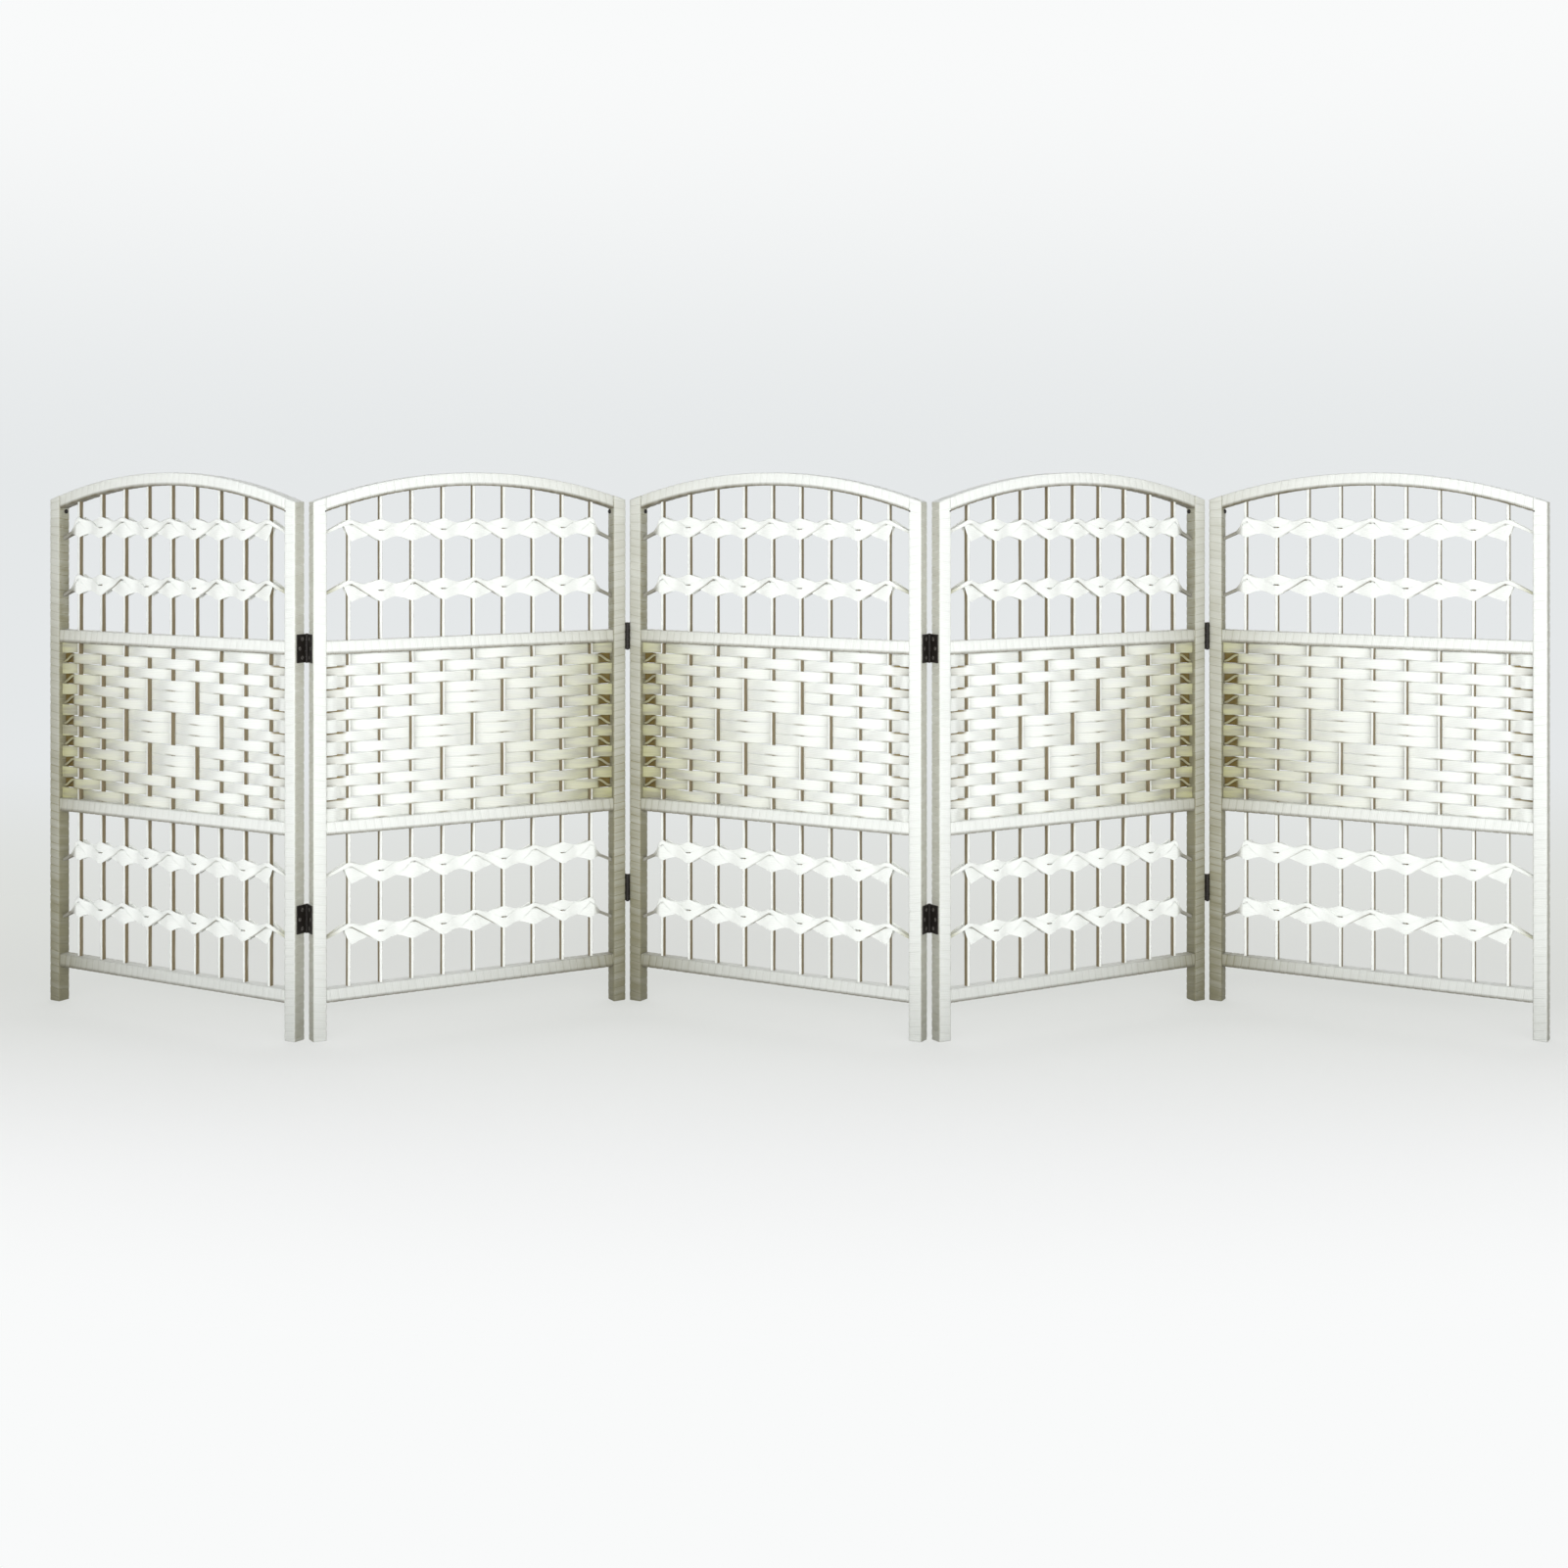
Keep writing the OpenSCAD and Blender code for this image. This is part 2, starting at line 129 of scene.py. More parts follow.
def count(name, description, default, least=1):
    return IntProperty(name=name, description=description, default=default, min=least)


def colour(name, description, rgb):
    return FloatVectorProperty(name=name, description=description, default=linear(*rgb),
                               subtype="COLOR", size=3, min=0, max=1)


class BindingSettings(bpy.types.PropertyGroup):
    """The fibre strip bound round the posts and rails"""
    pitch: length("Turn", "Distance from one turn of the binding to the next", 0.0115)
    relief: length("Groove", "Depth of the groove between two turns", 0.0005)
    corner: length("Corner", "Radius that the binding gives to a corner", 0.0016)
    rings: count("Rings", "Rings of points in one turn", 5, least=3)


class WeaveSettings(bpy.types.PropertyGroup):
    """The woven strips of the middle field"""
    strands: count("Strands", "Strands in one strip", 6)
    relief: length("Strand relief", "Depth of the groove between two strands", 0.00026)
    widening: length("End widening", "How much a strip widens beside a post", 0.0038)
    bead: length("Turned strand", "Width of the strand that is turned in at a far post", 0.0042)


class NetSettings(bpy.types.PropertyGroup):
    """The crossing strips of the open fields"""
    strands: count("Strands", "Strands in one strip", 3)
    relief: length("Strand relief", "Depth of the groove between two strands", 0.00018)
    lath_height: length("Height at a lath", "Height of a net over a lath", 0.0304)
    mid_height: length("Height between laths", "Height of a net where its strips cross", 0.0178)
    slit: length("Slit", "Gap between the two strips of a net at a lath", 0.0016)
    narrow: length("Narrow end", "Height of the front strip over every second lath", 0.0066)
    far_end: length("Far end", "Height of a strip drawn together at the far post", 0.0046)
    near_end: length("Near end", "Height of a strip drawn together at the near post", 0.0036)


class HingeSettings(bpy.types.PropertyGroup):
    """The butt hinges"""
    edge: length("Edge", "Radius of the worn edges of leaves and knuckles", 0.00025)
    corner: length("Corner", "Radius of the corners of a leaf", 0.0012)
    slot: length("Screw slot", "Width of the slot in a screw head", 0.0008)


class FinishSettings(bpy.types.PropertyGroup):
    """Colours of the finishes"""
    whitewash: colour("Whitewash", "Fibre strip under a full coat", (248, 251, 247))
    # Painted shade: the tint that the shaded parts of a strip turn to.
    wash_shade: colour("Thin wash", "Binding where the coat is thin", (156, 152, 122))
    # Painted shade of the woven and net strips, darker towards the floor and the far post.
    golden_shade: colour("Golden wash", "Woven strip where the coat is thin", (180, 177, 112))
    # A painted shadow colour: the dark lines under the rails and arches and along the net strips,
    # and the nets' far ends.
    shadow_edge: colour("Raw edge", "Edge of a binding or net strip that the coat missed",
                     (104, 96, 70))
    # Painted shade of the weave's recesses at the posts and of its shadow lines.
    woven_shadow: colour("Natural fibre", "Woven strip that the coat missed", (116, 98, 42))
    # Painted shade on the sides of the laths.
    lath_side_shade: colour("Lath side", "Side of a lath that the coat missed", (126, 114, 88))
    black: colour("Black", "Lacquer of the hinges", (31, 27, 23))
    worn: colour("Worn metal", "Metal where the black is rubbed off", (176, 172, 166))


class StageSettings(bpy.types.PropertyGroup):
    """Floor, light and camera"""
    floor: colour("Floor", "Colour of the floor under the screen", (244, 245, 245))
    # The grey just behind the screen is a painted shadow.
    behind: colour("Behind", "Colour of the floor just behind the screen", (220, 222, 218))
    backdrop: colour("Backdrop", "Colour of the far floor and of what is behind it",
                     (229, 232, 233))
    above: colour("Surround", "Colour of the near floor and of what is seen above", (249, 250, 250))
    key: number("Key lamp", "Power of the lamp in front", 94, unit="POWER")
    fill: number("Fill lamp", "Power of the lamp behind", 62, unit="POWER")
    ambient: number("Ambient", "Strength of the light from all round", 0.26, min=0)
    distance: length("Camera distance", "From the middle of the screen to the camera", 3.124)
    height: length("Camera height", "Of the camera above the floor", 0.794)
    lens: number("Lens", "Focal length for a 36 mm frame", 49.55, subtype="DISTANCE_CAMERA")


SETTINGS = {"binding": BindingSettings, "weave": WeaveSettings, "nets": NetSettings,
            "hinge": HingeSettings, "finish": FinishSettings, "stage": StageSettings}


def settings(group):
    return getattr(bpy.context.scene, "partition_" + group)


def in_mm(group, *names):
    """Lengths from a group of settings, in millimetres."""
    return [getattr(settings(group), name) * 1000 for name in names]


def add(name, data):
    """A new object in the scene."""
    thing = bpy.data.objects.new(name, data)
    bpy.context.scene.collection.objects.link(thing)
    return thing


# ---- finishes

class Amount:
    """A number that varies over a surface. Arithmetic on it adds Math nodes to its finish."""

    def __init__(self, finish, socket):
        self.finish, self.socket = finish, socket

    def maths(self, operation, *terms):
        made = self.finish.node("ShaderNodeMath", {"operation": operation}, dict(enumerate(terms)))
        return Amount(self.finish, made.outputs[0])

    def __add__(self, other):
        return self.maths("ADD", self, other)

    def __sub__(self, other):
        return self.maths("SUBTRACT", self, other)

    def __rsub__(self, other):
        return self.maths("SUBTRACT", other, self)

    def __mul__(self, other):
        return self.maths("MULTIPLY", self, other)

    def __truediv__(self, other):
        return self.maths("DIVIDE", self, other)

    __radd__, __rmul__ = __add__, __mul__

    def __abs__(self):
        return self.maths("ABSOLUTE", self)

    def __mod__(self, other):
        return self.maths("FLOORED_MODULO", self, other)

    def step(self, low, high):
        """A soft step from 0 below low to 1 above high."""
        made = self.finish.node("ShaderNodeMapRange", {"interpolation_type": "SMOOTHSTEP"},
                                {"Value": self, "From Min": low, "From Max": high})
        return Amount(self.finish, made.outputs["Result"])

    def kept(self):
        """The same amount, kept between 0 and 1."""
        made = self.finish.node("ShaderNodeClamp", {}, {"Value": self})
        return Amount(self.finish, made.outputs[0])


class Finish:
    """One material, made of nodes."""

    def __init__(self, name, tree=None):
        if tree is None:
            self.material = bpy.data.materials.new(name)
            self.material.use_nodes = True
            tree = self.material.node_tree
        self.tree = tree
        tree.nodes.clear()

    def node(self, kind, options=(), values=()):
        """A node of a kind, with its options set first and then its sockets' values or links."""
        made = self.tree.nodes.new(kind)
        for key, value in dict(options).items():
            setattr(made, key, value)
        for key, value in dict(values).items():
            value = value.socket if isinstance(value, Amount) else value
            if isinstance(value, bpy.types.NodeSocket):
                self.tree.links.new(value, made.inputs[key])
            elif made.inputs[key].type == "RGBA" and len(value) == 3:
                made.inputs[key].default_value = (*value, 1)
            else:
                made.inputs[key].default_value = value
        return made

    def mark(self, name):
        """A number kept with the points of the mesh."""
        made = self.node("ShaderNodeAttribute", {"attribute_name": name})
        return Amount(self, made.outputs["Fac"])

    def parts(self, vector):
        """The three parts of a vector."""
        made = self.node("ShaderNodeSeparateXYZ", {}, {0: vector})
        return [Amount(self, socket) for socket in made.outputs]

    def grain(self):
        """Metres along the fibres and metres across them."""
        return self.parts(self.node("ShaderNodeUVMap", {"uv_map": "grain"}).outputs[0])[:2]

    def noise(self, x, y, z=0.0, detail=2.0, rough=0.5):
        place = self.node("ShaderNodeCombineXYZ", {}, {0: x, 1: y, 2: z})
        made = self.node("ShaderNodeTexNoise", {}, {"Vector": place.outputs[0], "Scale": 1.0,
                                                    "Detail": detail, "Roughness": rough})
        return Amount(self, made.outputs["Fac"])

    def mix(self, share, first, second):
        made = self.node("ShaderNodeMix", {"data_type": "RGBA"}, {0: share, 6: first, 7: second})
        return made.outputs[2]

    def tone(self, base, level):
        """A colour made lighter or darker by an amount about 1."""
        made = self.node("ShaderNodeVectorMath", {"operation": "SCALE"}, {0: base, "Scale": level})
        return made.outputs[0]

    def surface(self, base, rough, height=None, depth=0.0, strength=0.6, **constants):
        values = {"Base Color": base, "Roughness": rough}
        values.update({key.replace("_", " "): value for key, value in constants.items()})
        if height is not None:
            bump = self.node("ShaderNodeBump", {}, {"Height": height, "Distance": depth,
                                                    "Strength": strength})
            values["Normal"] = bump.outputs[0]
        shader = self.node("ShaderNodeBsdfPrincipled", {}, values)
        self.node("ShaderNodeOutputMaterial", {}, {"Surface": shader.outputs[0]})
        return self.material


def fibre_finish(name, shadow_colour, shade_tint, turn=None, strand=0.0024, floor_shade=0.0):
    """Whitewashed fibre strip. Strands run along it; turn is the pitch of a binding's turns, and
    the last argument is how much painted shade darkens it towards the floor. The two colours
    given first are a painted shadow colour and a painted shade colour."""
    look = settings("finish")
    paint = Finish(name)
    along, across = paint.grain()
    wear_and_shade, shaded = paint.mark("wear_and_shade"), paint.mark("shaded")
    streak = paint.noise(along * 28, across * 850, detail=4, rough=0.62)
    patch = paint.noise(along * 14, across * 90, 3.0, detail=3)
    cloud = paint.noise(along * 5, across * 11, 7.0)
    ridge = abs((across / strand) % 1.0 - 0.5)
    groove = ridge.step(0.32, 0.5)
    patchy = 0.7 + patch * 0.6
    # Painted shade: the shade mark thins the whitewash towards a shade tint and darkens it, the
    # dark mark turns it to a shadow colour, and the grooves between strands are a little darker.
    coat = 1 - (shaded * patchy) - (streak - 0.5) * 0.18 * (0.3 + shaded) - groove * 0.05
    shade_share = wear_and_shade * patchy + groove * wear_and_shade * 0.2
    low = paint.mark("low")
    level = 0.985 + (streak - 0.5) * 0.16 + (cloud - 0.5) * 0.07 - groove * 0.05
    level = level - low * low * low * low * floor_shade - shaded * 0.18
    height = streak * 0.45 + (1 - groove) * 0.55
    # Painted shade in the seams between the turns of a binding, besides their dip in the bump.
    if turn:
        edge = 1 - abs((across / turn + 0.5) % 1.0 - 0.5).step(0.02, 0.085)
        coat = coat - edge * (0.02 + shaded * 0.25)
        level = level - edge * 0.025
        height = height - edge * 0.8
    mottled = paint.mix(patch.step(0.4, 0.65), shade_tint, look.wash_shade)
    base = paint.mix(coat.kept(), mottled, look.whitewash)
    base = paint.mix(shade_share.kept(), base, shadow_colour)
    return paint.surface(paint.tone(base, level), 0.66 + (streak - 0.5) * 0.3, height, 0.0005,
                         Specular_IOR_Level=0.32, Sheen_Weight=0.12, Sheen_Roughness=0.6)


def lath_finish():
    """A lath, whitewashed on its front and back edges, with painted shade on its sides and wherever
    the mesh marks it.
    """
    look = settings("finish")
    paint = Finish("lath_wash")
    along, across = paint.grain()
    wear_and_shade = paint.mark("wear_and_shade")
    streak = paint.noise(along * 22, across * 1300, detail=4, rough=0.6)
    patch = paint.noise(along * 30, across * 160, 5.0, detail=2)
    # Painted shade: the marked parts turn to the lath's shade colour.
    coat = 1 - (wear_and_shade * (0.66 + patch * 0.68)).step(0.05, 0.95) - (streak - 0.5) * 0.16
    base = paint.mix(coat.kept(), look.lath_side_shade, look.whitewash)
    return paint.surface(paint.tone(base, 0.98 + (streak - 0.5) * 0.3), 0.7, streak, 0.0003,
                         Specular_IOR_Level=0.3)


def black_finish(name, gloss):
    """Black lacquer on steel, rubbed bright where the mesh marks it as worn."""
    look = settings("finish")
    paint = Finish(name)
    x, y, z = paint.parts(paint.node("ShaderNodeTexCoord").outputs["Object"])
    speckle = paint.noise(x * 900, y * 900, z * 900, detail=3, rough=0.6)
    brushed = paint.noise(x * 300, y * 300, z * 5000, detail=2)
    worn = (paint.mark("wear_and_shade") * (0.45 + speckle * 1.1)).step(0.35, 0.75)
    base = paint.mix(worn, look.black, look.worn)
    rough = gloss + speckle * 0.18 + brushed * 0.08
    return paint.surface(paint.tone(base, 0.85 + speckle * 0.3), rough, speckle, 0.0001,
                         strength=0.35, Metallic=worn * 0.9, Specular_IOR_Level=0.3)


@functools.cache
def finish(name):
    """The named finish, made the first time it is asked for."""
    look = settings("finish")
    return {
        # The binding gets painted shade towards the floor.
        "bound": lambda: fibre_finish("bound_strip", look.shadow_edge, look.wash_shade,
                                      turn=settings("binding").pitch, floor_shade=0.26),
        "woven": lambda: fibre_finish("woven_strip", look.woven_shadow, look.golden_shade),
        "netted": lambda: fibre_finish("net_strip", look.shadow_edge, look.golden_shade),
        "lath": lath_finish,
        "hinge": lambda: black_finish("hinge_lacquer", 0.34),
        "screw": lambda: black_finish("screw_steel", 0.3),
    }[name]()


# ---- building meshes

class Panel:
    """Where a panel stands, measured from the posts of the frame. Its axes are as long as a
    millimetre is in the frame."""

    def __init__(self, number):
        self.number = number
        self.odd = number % 2 == 1
        left, right = (sum(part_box(f"panel_{number}_{side}_post"), Vector()) / 2
                       for side in ("left", "right"))
        far, near = (left, right) if self.odd else (right, left)
        along = (near - far) / (PANEL_W - POST)
        along.z = 0
        back = Vector((-along.y, along.x, 0)) * (1 if self.odd else -1)
        self.axes = np.array([along, back, (0, 0, along.length)])
        self.origin = np.array([far.x, far.y, 0]) - self.axes[0] * POST / 2

    def place(self, points):
        return self.origin + points @ self.axes


class Mesh:
    """Gathers the closed shapes of one piece, in millimetres."""

    def __init__(self):
        self.points, self.faces, self.grain, self.count = [], [], [], 0
        # The first mark is real wear on metal and painted shade and shadow on fibre and laths; the
        # second is painted shade that tints and darkens fibre.
        self.marks = {"wear_and_shade": [], "shaded": []}

    def loft(self, rings, along, across, wear_and_shade=0.0, shaded=0.0):
        """Skins rings of points into one closed shape. along and across are the fibre
        coordinates of the rings' corners, with one more column than the rings have points."""
        m, n = rings.shape[:2]
        index = np.arange(m * n).reshape(m, n)
        beside = np.roll(index, -1, axis=1)
        quads = np.stack([index[:-1], beside[:-1], beside[1:], index[1:]], -1).reshape(-1, 4)
        uv = np.stack(np.broadcast_arrays(along, across), -1) * 0.001
        corners = np.stack([uv[:-1, :-1], uv[:-1, 1:], uv[1:, 1:], uv[1:, :-1]], 2)
        corners = corners.reshape(-1, 4, 2)
        flat = rings.reshape(-1, 3)
        p = flat[quads] - flat.mean(0)
        turn = np.cross(p[:, 2] - p[:, 0], p[:, 3] - p[:, 1])
        first, last = index[0][::-1], index[-1]
        if np.einsum("ij,ij->i", p[:, 0], turn).sum() < 0:
            quads, corners, first, last = quads[:, ::-1], corners[:, ::-1], first[::-1], last[::-1]
        self.faces += (quads + self.count).tolist()
        self.faces += [(first + self.count).tolist(), (last + self.count).tolist()]
        self.grain.append(corners.reshape(-1, 2))
        for ring, cap in ((0, first), (m - 1, last)):
            self.grain.append(uv[ring][cap % n])
        self.points.append(flat)
        for name, value in (("wear_and_shade", wear_and_shade), ("shaded", shaded)):
            self.marks[name].append(np.broadcast_to(value, (m, n)).reshape(-1))
        self.count += m * n

    def plain(self, rings, wear_and_shade):
        """Skins rings that have no fibres, with one amount of wear for each ring."""
        rings = np.array(rings)
        grain = np.zeros((len(rings), rings.shape[1] + 1))
        self.loft(rings, grain, grain, np.array(wear_and_shade)[:, None])

    def make(self, name, place, mirrored, material, sharp):
        data = bpy.data.meshes.new(name)
        faces = [f[::-1] for f in self.faces] if mirrored else self.faces
        grain = np.concatenate(self.grain)
        if mirrored:
            sizes = np.array([len(f) for f in faces])
            starts = np.cumsum(sizes) - sizes
            grain = grain[np.concatenate([np.arange(s + c - 1, s - 1, -1)
                                          for s, c in zip(starts, sizes)])]
        points = np.concatenate(self.points)
        data.from_pydata(place(points).tolist(), [], faces)
        layer = data.uv_layers.new(name="grain")
        layer.data.foreach_set("uv", grain.astype(np.float32).ravel())
        self.marks["low"] = [1 - points[:, 2] / POST_H]
        for name, values in self.marks.items():
            marks = data.attributes.new(name, "FLOAT", "POINT")
            marks.data.foreach_set("value", np.concatenate(values).astype(np.float32))
        data.polygons.foreach_set("use_smooth", [True] * len(faces))
        data.set_sharp_from_angle(angle=math.radians(sharp))
        data.materials.append(material)
        data.validate()
        # The loop above left the last mark's name here, so the objects are low, low.001 and on.
        return add(name, data)


def stand(name, mesh, panel, look, node=None, sharp=50):
    """Makes a panel's piece, lets it ride with its panel and stand for its node."""
    piece = mesh.make(name, panel.place, not panel.odd, finish(look), sharp)
    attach(piece, f"panel_{panel.number}")
    if node:
        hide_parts(node)


def dress(kind, parts, look, sharp=50):
    """Makes the pieces that stand for these parts of every panel. parts holds, for the name of
    each part, what makes its mesh from the panel's number."""
    for k in PANELS:
        for part, make in parts.items():
            name = f"panel_{k}_{part}"
            stand(f"{kind}_{name}", make(k), Panel(k), look, name, sharp)
    return {"FINISHED"}


def spin(turn):
    """Turns the points on a plan that are multiplied by it."""
    return np.array([[math.cos(turn), math.sin(turn)], [-math.sin(turn), math.cos(turn)]])


def rounded_outline(width, depth, corner, steps=2, side=3):
    """Points round a rectangle with rounded corners, the outward directions there, and how far
    round each one is, with the whole way round as the last."""
    points, outward = [], []
    for quarter in range(4):
        turned = math.pi / 2 * quarter
        a, b = (width, depth) if quarter % 2 == 0 else (depth, width)
        for n in range(steps + 1):
            away = (1, 0) @ spin(turned + math.pi / 2 * n / steps)
            points.append((a / 2 - corner, b / 2 - corner) @ spin(turned) + corner * away)
            outward.append(away)
        start = points[-1]
        end = (corner - a / 2, b / 2 - corner) @ spin(turned) + corner * away
        for n in range(1, side + 1):
            points.append(start + (end - start) * n / (side + 1))
            outward.append(away)
    points, outward = np.array(points), np.array(outward)
    gaps = np.linalg.norm(np.roll(points, -1, axis=0) - points, axis=1)
    return points, outward, np.concatenate([[0], np.cumsum(gaps)])


def bound_bar(span, place, width, shaded, seed, wear_and_shade=lambda rings: 0.0):
    """A square bar bound with strip in a long spiral. place(t, a, b) puts a point of the section
    on the bar, t along it."""
    mesh = Mesh()
    pitch, relief, corner = in_mm("binding", "pitch", "relief", "corner")
    groove, unevenness, end_inset = 1.15, 0.1, 0.7
    outline, outward, around = rounded_outline(width, width, corner)
    inner = np.linspace(0, span, round(span / pitch * settings("binding").rings) + 1)[1:-1]
    t = np.array([0, END_ROUND, *inner, span - END_ROUND, span])[:, None]
    lean = 0.09 * wander(t / 23, seed)
    phase = t / pitch + around / around[-1] + lean + seed * 0.37
    away = np.abs((phase[:, :-1] + 0.5) % 1.0 - 0.5) * pitch
    sink = relief * np.exp(-(away / groove) ** 2)
    sink += unevenness * (1 + wander(t / 9 + outline[:, 0] / 7, seed))
    sink[[0, -1]] += end_inset
    a, b = (outline[:, n] - outward[:, n] * sink for n in (0, 1))
    rings = np.stack(np.broadcast_arrays(*place(t, a, b)), -1)
    mesh.loft(rings, around + seed * 700, phase * pitch, wear_and_shade(rings), shaded(rings))
    return mesh


# ---- posts and rails

def shade_and_blotch(rings):
    """Painted shade on the frame: darker towards the floor and towards the far post, with a few
    random blotches.
    """
    away = 1 - np.clip(rings[..., 0] / PANEL_W, 0, 1)
    low = 1 - np.clip(rings[..., 2] / POST_H, 0, 1)
    blotch = 0.04 * wander(rings[..., 2] / 31 + rings[..., 1] / 9, rings[..., 0].mean())
    return np.clip(0.20 * away ** 2 + 0.10 * low ** 2 + (0.12 + 0.60 * low ** 0.6) * away ** 5
                   + blotch * (0.4 + away), 0, 1)


def post_mesh(k, side):
    end = FAR if (side == "left") == (k % 2 == 1) else NEAR
    flip, middle = (1, POST / 2) if end == FAR else (-1, PANEL_W - POST / 2)
    slope_h = 70.0   # height in which the top takes the arch's slope
    edge = 1.2       # width of the side edges given painted shade

    def place(t, a, b):
        inward = POST / 2 + a
        top = POST_H + (arch_z(POST, ARCH_R) - POST_H) * inward / POST
        z = t + (top - POST_H) * smooth(POST_H - slope_h, POST_H, t)
        return middle + flip * a, b, z

    # Painted shade: darker towards the floor and the far post, and on the post's side faces.
    def shaded(rings):
        inward = flip * (rings[..., 0] - middle)
        outer, inner = (smooth(POST / 2 - edge, POST / 2 - edge + 1, way * inward)
                        for way in (-1, 1))
        return np.clip(shade_and_blotch(rings) + outer * 0.5 + inner * 0.4, 0, 1)

    return bound_bar(POST_H, place, POST, shaded, k * 2 + end)


class PARTITION_OT_posts(bpy.types.Operator):
    """Bind the ten posts with strip"""
    bl_idname = "partition.posts"
    bl_label = "Posts"

    def execute(self, context):
        return dress("bound", {"left_post": lambda k: post_mesh(k, "left"),
                               "right_post": lambda k: post_mesh(k, "right")},
                     "bound")


def rail_mesh(z, seed):
    def place(t, a, b):
        return RAIL_START + t, a, z + RAIL / 2 + b

    # A painted shadow line along the rail's lower edge.
    def wear_and_shade(rings):
        return smooth(z + 3.0, z + 1.6, rings[..., 2]) * 0.7

    return bound_bar(RAIL_SPAN, place, RAIL, shade_and_blotch, seed, wear_and_shade)


class PARTITION_OT_rails(bpy.types.Operator):
    """Bind the straight rails with strip"""
    bl_idname = "partition.rails"
    bl_label = "Straight rails"

    def execute(self, context):
        return dress("bound", {"upper_rail": lambda k: rail_mesh(UPPER_RAIL_Z, k * 5),
                               "lower_rail": lambda k: rail_mesh(LOWER_RAIL_Z, k * 5 + 1),
                               "bottom_rail": lambda k: rail_mesh(BOTTOM_RAIL_Z, k * 5 + 2)},
                     "bound")


def arch_mesh(k):
    def place(t, a, b):
        x = RAIL_START + t
        return x, a, arch_z(x, ARCH_R - RAIL / 2 + b)

    # A painted shadow line along the arch's lower edge.
    def wear_and_shade(rings):
        depth = arch_z(rings[..., 0], ARCH_R) - rings[..., 2]
        return smooth(RAIL - 2.6, RAIL - 1.2, depth) * 0.9

    return bound_bar(RAIL_SPAN, place, RAIL, shade_and_blotch, k * 3 + 1, wear_and_shade)


class PARTITION_OT_arches(bpy.types.Operator):
    """Bind the arched top rails with strip"""
    bl_idname = "partition.arches"
    bl_label = "Arched rails"

    def execute(self, context):
        return dress("bound", {"arch_rail": arch_mesh}, "bound")


# ---- laths

def laths_mesh(k):
    mesh = Mesh()
    outline, outward, around = rounded_outline(LATH_W, LATH_D, LATH_CORNER)
    bottom = BOTTOM_RAIL_Z + RAIL - SOCKET
    for i, x in enumerate(LATH_X[1:-1], start=1):
        seed = k * 11 + i
        top = float(arch_z(x, ARCH_R - RAIL)) + SOCKET
        clasps = [np.array([-7, -2, 2, 7]) + net for net in NET_ZS]
        z = np.unique(np.concatenate([np.linspace(bottom, top, 26)] + clasps))[:, None]
        shrink = 0.12 * (1 + wander(z / 40, seed))
        a = outline[:, 0] * (1 - shrink / LATH_W) + 0.15 * wander(z / 90, seed + 3)
        b = outline[:, 1] * (1 - shrink / LATH_D)
        rings = np.stack(np.broadcast_arrays(x + a, b, z), -1)
        # Painted shade: the sides, one front corner, the lath inside the weave, the far laths and
        # where the nets clasp them.
        flank = smooth(0.35, 0.75, np.abs(outward[:, 0]))
        woven = smooth(LOWER_RAIL_Z - 2, LOWER_RAIL_Z + 12, z) \
            * smooth(UPPER_RAIL_Z + 10, UPPER_RAIL_Z - 2, z)
        clasped = sum(np.exp(-((z - net) / 3) ** 2) for net in NET_ZS)
        edge = smooth(-0.2, 0.9, -outline[:, 0] * np.sign(outline[:, 1]))
        far = 0.4 * (1 - x / PANEL_W) ** 3
        wear_and_shade = np.clip(0.03 + flank * 0.75 + edge * (0.3 + 0.45 * woven) + woven * far
                       + clasped * 0.8, 0, 1)
        mesh.loft(rings, z + seed * 531, around, wear_and_shade)
    return mesh


class PARTITION_OT_laths(bpy.types.Operator):
    """Shape the upright laths"""
    bl_idname = "partition.laths"
    bl_label = "Laths"

    def execute(self, context):
        return dress("shaped", {"laths": laths_mesh}, "lath")


# ---- weave

def cell_ends(i):
    """Where a strip enters and leaves the cell between lath i and the next. The posts count as
    laths 0 and LATHS + 1."""
    return (LATH_X[i] + (LATH_W / 2 + LATH_CLEAR if i else FIT),
            LATH_X[i + 1] - (LATH_W / 2 + LATH_CLEAR if i < LATHS else FIT))


def row_z(row):
    """Height of the middle of a woven row."""
    return UPPER_RAIL_Z - row * (STRIP_H + STRIP_GAP) + STRIP_H / 2


def side(row, lath):
    """-1 where the strip of a row passes in front of a lath, 1 where it passes behind."""
    r, i = row - (ROWS + 1) // 2, lath - (LATHS + 1) // 2
    floats = abs(r) % 3 == 0 and abs(r) <= 3 and abs(i) <= 2 - abs(r) // 3
    return 1 if ((abs(r) + abs(i)) % 2 == 1) != floats else -1


def strip_line(row, steps=5):
    """Middle line of a row on the plan: place along the panel, sideways place and slope. A strip
    that ends behind a far post dives in steeply, and every strip does so at a near post."""
    ys = [side(row, i) * WEAVE_Y for i in range(1, LATHS + 1)]
    ys = [-side(row, 1) * STRIP_END_Y] + ys + [-side(row, LATHS) * STRIP_END_Y]
    cells = []
    for i in range(LATHS + 1):
        x0, x1 = cell_ends(i)
        dive = 0.62 if i == 0 and ys[0] > 0 else 0.8 if i == LATHS else 1.0
        u = np.linspace(0, 1, steps if dive == 1 else steps + 5)
        v = np.minimum(1, u / dive) if i == LATHS else np.maximum(0, 1 - (1 - u) / dive)
        y = ys[i] + (ys[i + 1] - ys[i]) * (1 - np.cos(np.pi * v)) / 2
        cells.append(np.stack([x0 + (x1 - x0) * u, y], -1))
    line = np.concatenate(cells)
    return np.column_stack([line, np.gradient(line[:, 1], line[:, 0])])


